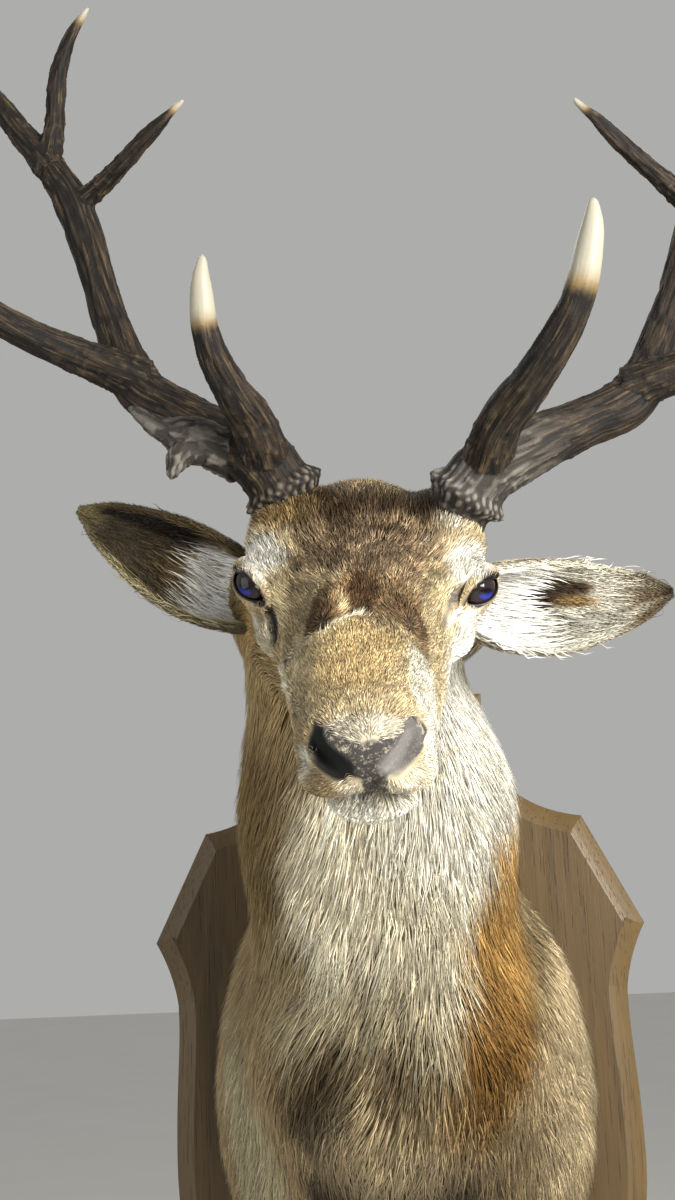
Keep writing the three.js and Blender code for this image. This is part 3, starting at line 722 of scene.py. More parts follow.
def hide_net():
    """Rays from the spine, square to it but for those that open over the nose, followed out to the skin.

    A ray points (sin o sin f, -cos o cos t - sin o cos f sin t, sin o cos f cos t - cos o sin t), where o is
    how far it opens, f its turn round the spine and t the cut's tilt. Each step is 0.85 of the distance left.
    """
    rows = along(SPINE, HIDE_ROWS)
    tilt = np.radians(rows[:, 3])[:, None]
    turn = circle(HIDE_COLUMNS)
    out, fore = np.sin(HIDE_OPEN)[:, None], np.cos(HIDE_OPEN)[:, None]
    ray = np.stack([out * np.sin(turn) * np.ones_like(tilt),
                    -fore * np.cos(tilt) - out * np.cos(turn) * np.sin(tilt),
                    -fore * np.sin(tilt) + out * np.cos(turn) * np.cos(tilt)], -1)
    centre = rows[:, None, :3]
    far = np.full(ray.shape[:2], 3.0 * HIDE_NEAREST)
    station = np.broadcast_to(HIDE_ROWS[:, None], far.shape)
    for _ in range(HIDE_STEPS):
        where = centre + ray * far[..., None]
        outside = body_distance(where) + coat_depth(where, station)
        far = np.clip(far - 0.85 * outside, HIDE_NEAREST, HIDE_FARTHEST)
    return centre + ray * far[..., None]


HIDE = hide_net()
# Square to the differences along and across the net, whose columns close on themselves.
HIDE_NORMALS = unit(np.cross(np.roll(HIDE, -1, 1) - np.roll(HIDE, 1, 1), np.gradient(HIDE, axis=0)))


# ---------- markings ----------
# The colours of the hide and of the coat that grows from it, both worked out here from the place on the body.
# Each marking is an egg with a noisy edge: its place, its size, and the colours of its hairs' roots and tips.
HEAD_MARKS = [
    ((0, 22, 52), (62, 66, 44), (42, 31, 22), (152, 130, 102)),  # forehead
    ((4, -62, 60), (72, 56, 44), (26, 19, 13), (70, 53, 35)),  # crown
    ((45, -45, 62), (34, 26, 28), (24, 18, 13), (58, 45, 31)),  # dark by the left burr
    ((-60, -30, 46), (24, 24, 22), (76, 60, 36), (136, 114, 76)),  # olive by the right burr
    ((66, -18, 52), (16, 20, 14), (178, 164, 132), (232, 224, 200)),  # pale tufts under the left burr
    ((8, 104, 30), (56, 40, 30), (66, 50, 35), (162, 136, 101)),  # grizzled brow
    ((-2, 108, 36), (15, 34, 16), (50, 36, 25), (102, 78, 53)),  # between them
    ((36, 112, 20), (17, 30, 18), (40, 30, 22), (124, 101, 74)),  # whorls
    ((46, 142, 10), (12, 22, 14), (56, 44, 32), (146, 123, 92)),
    ((-36, 110, 24), (17, 28, 18), (34, 25, 18), (106, 85, 60)),
    ((58, 122, 10), (6, 26, 14), (150, 130, 98), (226, 212, 182)),  # pale streaks beside them
    ((-18, 112, 32), (3.5, 24, 12), (136, 114, 82), (196, 174, 136)),
    ((-4, 182, 18), (34, 46, 28), (150, 122, 78), (204, 180, 134)),  # golden bridge
    ((40, 186, 0), (14, 46, 22), (176, 164, 138), (232, 226, 206)),
    # The right cheek's golden tones are darker than the left cheek's cream: its own tone with painted shade.
    ((-70, 20, -75), (46, 120, 60), (112, 92, 58), (186, 162, 118)),  # right cheek
    ((76, 40, -75), (44, 140, 66), (206, 198, 178), (248, 245, 234)),  # left cheek
    ((-100, -40, -30), (30, 60, 36), (130, 104, 64), (190, 158, 108)),  # golden behind the right eye
    ((-96, 30, -48), (26, 40, 20), (96, 74, 42), (150, 124, 80)),
    ((82, 12, 29), (23, 32, 13), (190, 184, 168), (226, 222, 211)),  # white over the eyes
    ((-80, 12, 29), (22, 34, 13), (196, 188, 170), (236, 232, 220)),
    ((84, 40, -30), (22, 40, 30), (204, 196, 178), (240, 236, 224)),  # below the eyes
    ((-82, 48, -30), (16, 36, 28), (176, 164, 134), (226, 216, 190)),
    ((0, 252, 1), (50, 16, 12), (168, 158, 136), (204, 196, 176)),  # band above the nose
    ((0, 80, -110), (50, 150, 40), (176, 166, 140), (226, 218, 196)),  # under the jaw
    ((10, 236, -44), (54, 50, 32), (176, 164, 136), (218, 208, 184)),  # lips and chin
    # Painted shade on the right side of the muzzle, darker than the left side below.
    ((-42, 214, -26), (20, 48, 26), (120, 102, 70), (184, 166, 126)),
    ((52, 226, -20), (15, 44, 30), (192, 182, 158), (236, 230, 212)),
    ((4, 240, -60), (34, 26, 15), (206, 196, 172), (250, 246, 230)),  # lower lip
    # Painted shade on the right of the upper lip.
    ((-34, 252, -36), (20, 22, 13), (110, 94, 66), (178, 158, 120)),
    ((-42, 248, -18), (8, 12, 16), (184, 176, 154), (226, 220, 200)),  # white rim of the right nostril
    # Along the gland's slit.
    *[((1.8 * k - 76, 30 + 5.5 * k, 4 - 6 * k), (5, 6, 6), (26, 20, 15), (38, 30, 23)) for k in range(5)],
]
MOUNT_MARKS = [
    ((0, -200, 330), (90, 300, 60), (84, 70, 50), (140, 122, 92)),  # nape
    ((22, -430, 170), (112, 110, 130), (170, 158, 128), (230, 221, 196)),  # cream front
    ((-95, -400, 265), (42, 90, 110), (84, 70, 44), (142, 122, 84)),  # olive on the right
    ((80, -400, 310), (80, 120, 110), (200, 191, 166), (243, 238, 222)),  # cream under the left ear
    ((-70, -420, 120), (34, 90, 90), (112, 96, 64), (176, 158, 120)),
    ((0, -440, 96), (90, 110, 62), (120, 107, 80), (180, 168, 138)),
    ((-14, -405, 28), (70, 70, 58), (36, 28, 18), (84, 68, 45)),  # dark middle of the chest
    ((-32, -408, 32), (32, 70, 36), (18, 14, 9), (36, 28, 18)),
    ((28, -402, 2), (34, 70, 32), (28, 21, 14), (60, 47, 30)),
    ((4, -408, 46), (8, 70, 36), (120, 104, 76), (180, 162, 126)),
    ((122, -345, 222), (27, 80, 50), (136, 102, 55), (204, 164, 102)),  # rust band
    ((105, -365, 156), (32, 90, 66), (126, 92, 46), (192, 151, 89)),
    ((90, -384, 88), (32, 90, 56), (96, 68, 32), (154, 116, 63)),
    ((74, -395, 30), (29, 90, 46), (72, 50, 24), (118, 87, 44)),
    ((165, -200, 40), (56, 120, 170), (146, 124, 90), (222, 202, 164)),  # left edge of the shoulder
    ((-135, -250, -20), (45, 110, 120), (124, 110, 80), (186, 176, 144)),  # right edge
    ((4, -370, -62), (110, 120, 62), (22, 16, 11), (45, 35, 22)),  # foot of the chest
]
HEAD_COAT = ((136, 116, 84), (206, 188, 150))
NECK_COAT = ((100, 84, 58), (166, 146, 110))


def marked(points, base, marks):
    """Each marking is laid over those before it, fading out over the outer third of its egg."""
    tones = [np.broadcast_to(np.array(colour, float), points.shape).copy() for colour in base]
    ragged = 0.5 * (cloud(points, 22, 31) - 0.5) + 0.3 * (cloud(points, 8, 32) - 0.5)
    for at, size, *over in marks:
        near = np.sqrt((((points - at) / size) ** 2).sum(-1))
        share = ease((1.2 + ragged - near) / 0.55)[:, None]
        for under, colour in zip(tones, over):
            under += (np.array(colour) - under) * share
    return tones


def coat_tones(points):
    """Paint-chart colours of a hair's root and tip: the head's markings, then the neck's behind them."""
    local = to_head(points)
    behind = ease((-local[:, 1] - 60) / 50 + 0.5)
    below = ease((-local[:, 2] - 118) / 36 + 0.5) * ease((150 - local[:, 1]) / 60)
    on_neck = np.maximum(behind, below)[:, None]
    head = marked(local, HEAD_COAT, HEAD_MARKS)
    neck = marked(points, NECK_COAT, MOUNT_MARKS)
    return [h + (n - h) * on_neck for h, n in zip(head, neck)]


# ---------- hide ----------
# The skin of the head, neck and shoulders as one closed piece, bare on the nose and in the nostrils.
# It carries the coat's colours, so that any gap between locks shows more of the same, and a fine hair grain.
def hide_finish():
    """The coat's colours with a hair grain, and a pebbled grey pad blotched with cream, with painted
    near-black shade inside and a painted grey sheen.
    """
    hide = Finish("hide_and_nose")
    bare = hide.attribute("bare")
    grain = hide.noise(hide.place(), 700, 3, 0.65)
    cracks = {"Vector": hide.place(), "Scale": 760}
    pebble = hide.node("ShaderNodeTexVoronoi", {"feature": "DISTANCE_TO_EDGE"}, cracks).between(0.0, 0.2)
    speck = hide.noise(hide.place(), 260, 5, 0.8)
    pad = hide.layers(
        tone(50, 47, 44),
        ((62, 58, 56), pebble * 0.5),
        ((196, 184, 160), speck.between(0.5, 0.64) * 0.6),
        # Painted sheen: a soft grey where the left nostril's wall and the left gland catch the light.
        ((128, 124, 121), hide.attribute("soft")),
        # Painted shade: near-black in the nostrils, the glands' slits and along the mouth.
        ((9, 8, 7), hide.attribute("inner")),
    )
    coat = hide.attribute("coat", "Color")
    colour = hide.layers(coat, ((20, 15, 10), grain.between(0.55, 0.75) * 0.35), (pad, bare))
    relief = hide.bump(grain * (1 - bare) + (pebble * 0.4 + speck * 0.8) * bare, 0.4)
    return hide.paint(Base_Color=colour, Roughness=0.75 - 0.15 * bare, Normal=relief, Specular_IOR_Level=0.3)


def hide():
    """The net, closed on the middle of the nose and flat against the board."""
    pole = HIDE[0].mean(0) + HIDE_NORMALS[0].mean(0) * 0.1
    points = np.concatenate([HIDE.reshape(-1, 3), [pole, HIDE[-1].mean(0)]])
    faces = capped_faces(*HIDE.shape[:2])
    nodes = ["head_skull", "muzzle", "nose_pad", "lower_jaw", "neck_upper", "neck_lower", "shoulder"]
    piece = put_mesh("hide", points, faces, hide_finish(), nodes)
    root, tip = coat_tones(points)
    local = to_head(points)
    nostril = gap(NOSTRILS, local)
    front = ease((local[:, 1] - 228) / 8)
    on_right = local[:, 0] < 0
    # Painted shade inside the nostrils, reaching further in the right one, which stands in shade.
    inner = ease((np.where(on_right, 5.5, 4.0) - nostril) / 3.5) * front
    gland = ease((2.6 - gap(GLANDS, local)) / 2.5)
    lips = bell(local[:, 2] - mouth_line(local[:, 1]) + 0.8, 2.8) * ease((local[:, 1] - 175) / 15)
    # The left nostril's wall catches the light as a soft grey.
    lit = ease((5.0 - nostril) / 5) * front * ~on_right
    # Near-black over the nostrils, the mouth's line and the glands: their own dark skin with painted shade,
    # full in the right gland's slit and faint in the lit left one.
    dark = np.maximum.reduce([inner * (1 - 0.75 * lit), lips, gland * np.where(on_right, 1.0, 0.15)])
    carry(piece, coat=opaque(linear(root * 0.7 + tip * 0.28)), inner=dark,
          bare=np.maximum.reduce([pad_mask(local), inner, lips, gland, lit]),
          soft=np.maximum(0.8 * lit, 0.3 * gland * ~on_right))


hide()


# ---------- coat ----------
# The winter coat of the head, neck and shoulders, as locks of hair that grow from the hide and lie along it.
# A lock is a thin three-sided blade with a point. They are short and fine on the face and long on the neck.
# It is made in bands from the nose to the board, each a joined mesh.
SHORT_PIECES = ["coat_nose", "coat_bridge", "coat_brow", "coat_forehead"]
LONG_PIECES = ["coat_nape", "coat_throat", "coat_neck", "coat_shoulder"]
SHORT_LOCKS, LONG_LOCKS = 15500, 17200  # in each piece
# Rings in a blade, how far its shade varies alone, in streaks and in patches, and how many degrees it strays.
SHORT_LOOKS = {"rings": 2, "mottle": 0.3, "streak": 0.4, "patch": 2.0, "stray": 9}
LONG_LOOKS = {"rings": 2, "mottle": 0.2, "streak": 0.6, "patch": 0.0, "stray": 6}
SHORT_END = 3.0  # the station where the face's short coat gives way
PATCH = 0.003  # how wide a lock's patch is on the bake map
LENGTHS = [7, 10, 15, 24, 42, 60, 70, 62, 44]  # by station
WIDTHS = [0.6, 0.65, 0.7, 0.85, 1.05, 1.15, 1.25, 1.3, 1.25]
WAVES = [0, 0, 0, 0.3, 1.0, 1.5, 3.0, 4.0, 4.0]
CLUMPS = [1, 2, 3.5, 6, 6, 6, 7, 7, 7]
WHORLS = [(36, 114, 24), (-34, 114, 28)]
FOLD_TIPS = np.array((238, 228, 200))
BLADE_RIDGE = 0.38  # how high a blade's ridge is, as a share of its width
ROOT_DEPTH = 0.5


def lookup(net, u, v):
    """A net's point between rows and columns, by shares of the four around it, and its change along each."""
    rows, columns = net.shape[:2]
    i = np.clip(np.floor(u).astype(int), 0, rows - 2)
    j = np.floor(v).astype(int)
    f, g = (u - i)[:, None], (v - j)[:, None]
    a, b = net[i, j % columns], net[i, (j + 1) % columns]
    c, d = net[i + 1, j % columns], net[i + 1, (j + 1) % columns]
    down = (c - a) * (1 - g) + (d - b) * g
    over = (b - a) * (1 - f) + (d - c) * f
    return a * (1 - f) * (1 - g) + b * (1 - f) * g + c * f * (1 - g) + d * f * g, down, over


def walked(net, u, v, step):
    """Where on the net a step leads: the least-squares shares of the net's two differences."""
    _, down, over = lookup(net, u, v)
    dd, do, oo = (down * down).sum(1), (down * over).sum(1), (over * over).sum(1)
    sd, so = (step * down).sum(1), (step * over).sum(1)
    whole = np.maximum(dd * oo - do * do, 1e-5)
    u = u + np.clip((sd * oo - so * do) / whole, -12, 12)
    return np.clip(u, 0, net.shape[0] - 1.001), v + np.clip((so * dd - sd * do) / whole, -12, 12)


def scattered(net, density, count, dice):
    """Roots spread evenly by weight: each takes its turn in the running total of cell area times density."""
    down, over = net[1:] - net[:-1], np.roll(net, -1, 1) - net
    area = np.linalg.norm(np.cross(down, over[:-1]), axis=2) * density
    total = np.cumsum(area)
    cell = np.searchsorted(total, (np.arange(count) + dice.random(count)) / count * total[-1])
    i, j = np.divmod(np.minimum(cell, area.size - 1), net.shape[1])
    return i + dice.random(count), j + dice.random(count)


def heading(path, t, step):
    """Which way a curve runs: its point a step ahead, less its point a step behind."""
    return along(path, np.minimum(t + step, len(path) - 1)) - along(path, np.maximum(t - step, 0))


def locks(name, net, normals, roots, comb, shape, tones, finish, dice):
    """Blades on a net. From its root each steps along the comb, rising as 0.1 + 0.9 share^0.75 of its height.

    It sways by wave sin(turns) + clump share, and is an arrow of three-cornered rings closed by a point.
    """
    u, v = roots
    count, rings = len(u), shape["rings"]
    start = lookup(net, u, v)[0]
    aside = (cloud(start, 9, 51) - 0.5) * 2 * shape["clump"]
    lean = np.radians(14 * (2 * cloud(start, 40, 52) - 1) + shape["stray"] * dice.standard_normal(count))
    phase = 2 * math.pi * (cloud(start, 18, 53) * 2 + 0.2 * dice.random(count))
    shares = np.linspace(0, 1, rings + 1)
    corners = []
    for share, fullness in zip(shares, np.interp(shares, [0, 0.35, 0.7, 1], [0.6, 1, 0.8, 0])):
        place = lookup(net, u, v)[0]
        normal = unit(lookup(normals, u, v)[0])
        way = comb(place, u)
        way = unit(way - normal * (way * normal).sum(1, keepdims=True))
        way = way * np.cos(lean)[:, None] + np.cross(normal, way) * np.sin(lean)[:, None]
        side = np.cross(way, normal)
        sway = aside * share + shape["wave"] * np.sin(phase + share * 7) * share
        rise = shape["height"] * (0.1 + 0.9 * share**0.75) - (ROOT_DEPTH if share == 0 else 0)
        centre = place + side * sway[:, None] + normal * rise[:, None]
        wide = (shape["width"] * fullness)[:, None]
        corners += [centre - side * wide / 2, centre + normal * wide * BLADE_RIDGE, centre + side * wide / 2]
        u, v = walked(net, u, v, way * (shape["length"] / rings)[:, None])
    # The last ring has no width, so the first of its corners is the blade's point.
    points = np.stack(corners[:-2], 1)
    last = 3 * rings
    edges = ((0, 1), (1, 2), (2, 0))
    tris = [(0, 2, 1)]
    for low in range(0, last - 3, 3):
        for a, b in edges:
            tris += [(low + a, low + b, low + 3 + a), (low + b, low + 3 + b, low + 3 + a)]
    tris += [(last - 3 + a, last - 3 + b, last) for a, b in edges]
    faces = (np.array(tris)[None] + (np.arange(count) * (last + 1))[:, None, None]).reshape(-1, 3)
    piece = put_mesh(name, points, [faces], finish)
    root, tip = tones
    share = np.append(np.repeat(shares[:-1], 3), 1.0)
    blend = ease((share + 0.05) / 0.75)[None, :, None]
    streak = cloud(start * (1, 1, 0.25), 7, 54) - 0.5 + 0.6 * (cloud(start * (1, 1, 0.3), 18, 56) - 0.5)
    patch = cloud(start, 4.5, 57) + cloud(start, 10, 58) - 1
    gloom = shape["mottle"] * dice.standard_normal(count) + shape["streak"] * streak + shape["patch"] * patch
    colours = linear(root[:, None] * (1 - blend) + tip[:, None] * blend) * np.exp(gloom)[:, None, None]
    carry(piece, coat=opaque(np.clip(colours, 0, 1)))
    # Each lock has its own small patch of the bake map, at its root's row and column.
    row, column = roots
    corner = np.append(np.tile([0, 0.5, 1], rings), 0.5)
    bake = np.stack([(column / net.shape[1])[:, None] * (1 - PATCH) + PATCH * corner,
                     (row / net.shape[0])[:, None] * (1 - PATCH) + PATCH * share], -1)
    bake = bake.reshape(-1, 2)[faces.ravel()].astype(np.float32)
    piece.data.uv_layers.new(name="OFBake").data.foreach_set("uv", bake.ravel())


def hair_finish():
    """Dull hair in the coat's own colours, broken along its length by a fine uneven tint."""
    hair = Finish("hair")
    fleck = hair.noise(hair.place(), 900, 2, 0.6)
    colour = hair.layers(hair.attribute("coat", "Color"), ((24, 17, 10), fleck.between(0.5, 0.8) * 0.25))
    return hair.paint(Base_Color=colour, Roughness=0.62, Specular_IOR_Level=0.1)


def by_station(values, station):
    """A table's value between stations, in straight lines."""
    return np.interp(station, np.arange(len(SPINE)), values)


def body_comb(points, u):
    """The lie of the coat: back along the body, down where it hangs, outwards from whorls and the brow."""
    station = np.interp(u, np.arange(len(HIDE_ROWS)), HIDE_ROWS)
    way = unit(heading(SPINE, station, 0.15)[:, :3])
    local = to_head(points)
    hang = ease((station - 3.0) / 1.5)
    way[:, 2] -= 0.55 * hang
    way[:, 0] -= 0.30 * hang * ease((-300 - points[:, 1]) / 120)
    brow = bell(local[:, 1] - 40, 80) * ease((local[:, 2] - 10) / 20)
    way += (brow * np.clip(local[:, 0] / 60, -1, 1) * 0.6)[:, None] * HEAD_AXES[0]
    loose, high = fold_share(local)
    behind_gland = np.sign(local[:, :1]) * (8, 0, 0) / 33 + np.array((0, -20, 24)) / 33
    for turned, share in (
        (unit(local - (4, 238, -12)), 2.2 * ease((local[:, 1] - 205) / 30)),
        (behind_gland, 2.5 * bell(np.maximum(gap(GLANDS, local), 0), 9)),
        (unit(local - (-14, 182, 8)), 2.5 * bell(loose, 6) * high),
    ):
        way += (turned @ HEAD_AXES) * share[:, None]
    for whorl in WHORLS:
        away = points - from_head(np.array(whorl, float))
        near = np.linalg.norm(away, axis=1, keepdims=True)
        way += away / np.maximum(near, 1) * 1.6 * bell(near, 26)
    return way


def furred(local):
    """How thickly hair covers the skin: none on the pad, along the lips and in each opening."""
    lip = np.abs(local[..., 2] - mouth_line(local[..., 1]))
    cover = (1 - pad_mask(local)) * (1 - ease((2.6 - lip) / 1.5) * ease((local[..., 1] - 175) / 15))
    for openings, bare, edge in ((NOSTRILS, 2.5, 3), (GLANDS, 1.2, 1.6), (LID_OPENING, 2, 4)):
        cover *= ease((gap(openings, local) - bare) / edge)
    return cover


def body_shape(place, station, looks, dice):
    """Locks sized by station: smaller by the eyes, glands and mouth, fuller on the brow, crown and fold."""
    local = to_head(place)
    eyes = bump_at(mirrored(local), (88, 14, 8), (26, 34, 26))
    brow = bump_at(local, (0, 0, 44), (60, 90, 40))
    crown = bump_at(local, (0, -71.4, 68), (46, 34, 40))
    chin = bump_at(local, (4, 234, -62), (36, 26, 14))
    bare = bell(np.maximum(gap(GLANDS, local), 0), 9)
    mouth = bell(local[:, 2] - mouth_line(local[:, 1]) - 2, 4) * ease((local[:, 1] - 175) / 15)
    loose, high = fold_share(local)
    edge = bell(loose - 1, 4) * high
    short = (1 - 0.6 * eyes) * (1 - 0.6 * bare) * (1 - 0.6 * mouth)
    length = by_station(LENGTHS, station) * short * np.exp(0.18 * dice.standard_normal(len(place)))
    width = by_station(WIDTHS, station) * (1 - 0.3 * eyes) * (0.75 + 0.5 * dice.random(len(place)))
    height = (coat_depth(place, station) + 0.5 + 2.2 * chin) * (0.55 + 0.45 * dice.random(len(place)))
    height *= (0.75 + 0.5 * cloud(place, 16, 55)) * (1 + 2.2 * edge - 0.3 * crown) * (1 - 0.6 * bare)
    return looks | {
        "length": length * (1 + 0.3 * brow + 0.6 * crown + 0.5 * edge),
        "width": width,
        "height": height,
        "wave": by_station(WAVES, station),
        "clump": by_station(CLUMPS, station) * (1 - eyes) * (1 + 0.8 * crown),
        "patch": looks["patch"] * (0.35 + 0.65 * brow),
    }


def body_tones(place):
    """The coat's tones, with a painted shadow in front of the loose skin's edge, and pale-tipped along it."""
    loose, high = fold_share(to_head(place))
    # A painted shadow, cast by the raised edge of the loose skin onto the coat in front of it.
    painted_shadow = (1 - 0.6 * bell(loose + 6, 5) * high)[:, None]
    pale = (0.85 * bell(loose - 1, 4) * high)[:, None]
    root, tip = (colour * painted_shadow for colour in coat_tones(place))
    return root, tip + (FOLD_TIPS - tip) * pale


def body_coat():
    """Each band's roots are scattered over its stations, then shared out in order among its pieces."""
    dice = np.random.default_rng(7)
    finish = hair_finish()
    station = np.broadcast_to(HIDE_ROWS[:-1, None], (len(HIDE) - 1, HIDE_COLUMNS))
    middle = (HIDE[:-1] + HIDE[1:]) / 2
    # Smaller locks stand closer, and there are fewer by the wall.
    cover = furred(to_head(middle)) * (0.35 + 0.65 * (middle[..., 1] < -60))
    cover /= by_station(LENGTHS, station) * by_station(WIDTHS, station)
    for names, count, looks, chosen in (
        (SHORT_PIECES, SHORT_LOCKS, SHORT_LOOKS, station < SHORT_END),
        (LONG_PIECES, LONG_LOCKS, LONG_LOOKS, station >= SHORT_END),
    ):
        roots = scattered(HIDE, cover * chosen, count * len(names), dice)
        for name, u, v in zip(names, *[np.array_split(each, len(names)) for each in roots]):
            place = lookup(HIDE, u, v)[0]
            shape = body_shape(place, np.interp(u, np.arange(len(HIDE_ROWS)), HIDE_ROWS), looks, dice)
            locks(name, HIDE, HIDE_NORMALS, (u, v), body_comb, shape, body_tones(place), finish, dice)


body_coat()


# ---------- eyes ----------
# Glass eyes, dark brown with a wide pupil and a painted deep-blue reflection low in it, each set in the clay
# of its socket.
# The clear front bulges a little. They are cast in one piece, painted behind and polished.
EYE_PLACE = (84, 7, 9)  # across, forward and up on the head
EYE_RADIUS, EYE_BULGE = 19.5, 0.7
EYE_RINGS, EYE_COLUMNS = 70, 96
GAZE_TURN, GAZE_LIFT = math.radians(33), math.radians(7)  # from straight ahead
BESIDE_IRIS = 3  # far outside the pupil and the iris, where both are 1 at the edge


def eye_frame(side):
    """The middle of the eye, and unit directions out through its pupil, towards the nose and up over it."""
    middle = np.array(EYE_PLACE, float) * (side, 1, 1)
    level = math.cos(GAZE_LIFT)
    out = np.array([side * math.sin(GAZE_TURN) * level, math.cos(GAZE_TURN) * level, math.sin(GAZE_LIFT)])
    nosewards = unit(np.cross(out, (0, 0, 1)) * -side)
    axes = np.stack([out, nosewards, unit(np.cross(nosewards, out) * -side)])
    centre = from_head(middle)
    return centre, unit(from_head(middle + axes) - centre)


def eye_finish():
    """A glassy black ball with a brown iris and a painted blue reflection low in the pupil."""
    glass = Finish("eye_glass")
    pupil = glass.attribute("pupil")
    colour = glass.layers(
        tone(8, 6, 6),
        ((34, 26, 24), glass.attribute("iris").between(1.0, 0.75)),
        ((8, 8, 14), pupil.between(1.08, 0.94)),
        # Painted reflection: deep blue in the lower half of the pupil.
        ((30, 38, 120), pupil.between(1.0, 0.6) * glass.attribute("low").between(-0.35, 0.5)),
    )
    return glass.paint(Base_Color=colour, Roughness=0.03, Specular_IOR_Level=0.33)


def eye(side, name, finish):
    """Rings round the pupil of radius R + bulge exp(-(angle / 30 degrees)²)."""
    centre, axes = eye_frame(side)
    angle = np.linspace(0, math.pi, EYE_RINGS + 2)[1:-1, None]
    turn = circle(EYE_COLUMNS)
    out, aside = np.cos(angle), np.sin(angle)
    ball = np.stack([out + 0 * turn, aside * np.cos(turn), aside * np.sin(turn)], -1)
    ball *= EYE_RADIUS + EYE_BULGE * bell(angle, math.radians(30))[..., None]
    ball = np.concatenate([ball.reshape(-1, 3), [(EYE_RADIUS + EYE_BULGE, 0, 0), (-EYE_RADIUS, 0, 0)]])
    faces = [part[:, ::side] for part in capped_faces(EYE_RINGS, EYE_COLUMNS)]
    piece = put_mesh("eye_" + name + "_glass", centre + ball @ axes, faces, finish, ["eye_" + name])
    _, y, z = ball.T / EYE_RADIUS
    fields = [np.hypot(y / 0.42, (z + 0.08) / 0.26), np.hypot(y, z) / 0.72, -(z + 0.05) / 0.26]
    pupil, iris, low = np.where(ball[:, 0] > 0, fields, BESIDE_IRIS)
    carry(piece, pupil=pupil, iris=iris, low=low)


glass = eye_finish()
eye(1, "left", glass)
eye(-1, "right", glass)


# ---------- eyelids ----------
# The lids, modelled in clay over the glass and painted black along their edges, with lashes on the upper one.
# Each is a closed ring: it starts under the edge, rolls over the rim and runs out under the coat.
LID_HALF, LID_UPPER, LID_LOWER = 59, 24, 22  # degrees of the ball left bare
LID_REACH, LID_RISE = 26, 18
LID_TILT = math.radians(20)  # how far the nose's corner hangs
LID_TURN = circle(120)
# Each loop's share of the way out from the glass to the face, and how high it stands over them.
LID_LOOPS = [
    (0.0, -1.5), (0.0, 0.4), (0.03, 1.3), (0.09, 1.9), (0.17, 1.9), (0.26, 1.6), (0.36, 1.2),
    (0.48, 0.7), (0.6, 0.3), (0.74, 0), (0.88, -0.2), (1.0, -0.9), (1.04, -2.6), (0.5, -3.4),
]
LID_OUTSIDE = 12  # loops that can be seen and bear hair
LID_CLEARANCE = 0.9  # from the glass
LID_HAIRS, LASHES = 1500, 34


def lid_net(side):
    """Loops of an almond whose height is cos on the ball near the glass and the face's further out.

    The almond is (half cos f, tall sin f |sin f|^0.3), and each loop's height is the mix of the two heights.
    """
    centre, axes = eye_frame(side)
    across, over = np.cos(LID_TURN), np.sin(LID_TURN)
    c, s = math.cos(LID_TILT), math.sin(LID_TILT)
    tall = np.where(over > 0, LID_UPPER, LID_LOWER)
    corner = 1 + 0.12 * bell(np.mod(LID_TURN + math.pi, 2 * math.pi) - math.pi, 0.25)
    ball_x = EYE_RADIUS * np.sin(np.radians(LID_HALF)) * across * corner
    ball_y = EYE_RADIUS * np.sin(np.radians(tall)) * over * np.abs(over) ** 0.3
    loops = []
    for share, rise in LID_LOOPS:
        x = ball_x + (LID_REACH * across - ball_x) * share
        y = ball_y + (LID_RISE * over - ball_y) * share
        x, y = x * c + y * s, y * c - x * s
        flat = centre + np.stack([np.zeros_like(x), x, y], 1) @ axes
        high = np.full(len(x), 44.0)
        for _ in range(14):
            where = flat + axes[0] * high[:, None]
            high = high - 0.8 * (body_distance(where, lids=False) + coat_depth(where, np.full(len(x), 2.5)))
        ball = np.sqrt(np.maximum((EYE_RADIUS + LID_CLEARANCE) ** 2 - x**2 - y**2, 4))
        height = ball + (np.maximum(high, 2) - ball) * ease((share - 0.05) / 0.55) + rise
        loops.append(flat + axes[0] * height[:, None])
    return np.array(loops)


def lid_finish():
    """Black-brown along the rim, and further out the coat's own colours."""
    lid = Finish("eyelid")
    grain = lid.noise(lid.place(), 600, 3, 0.6)
    rim = lid.attribute("rim")
    colour = lid.layers(lid.attribute("coat", "Color"), ((26, 20, 17), rim))
    return lid.paint(Base_Color=colour, Roughness=0.7 - 0.3 * rim, Normal=lid.bump(grain, 0.3))


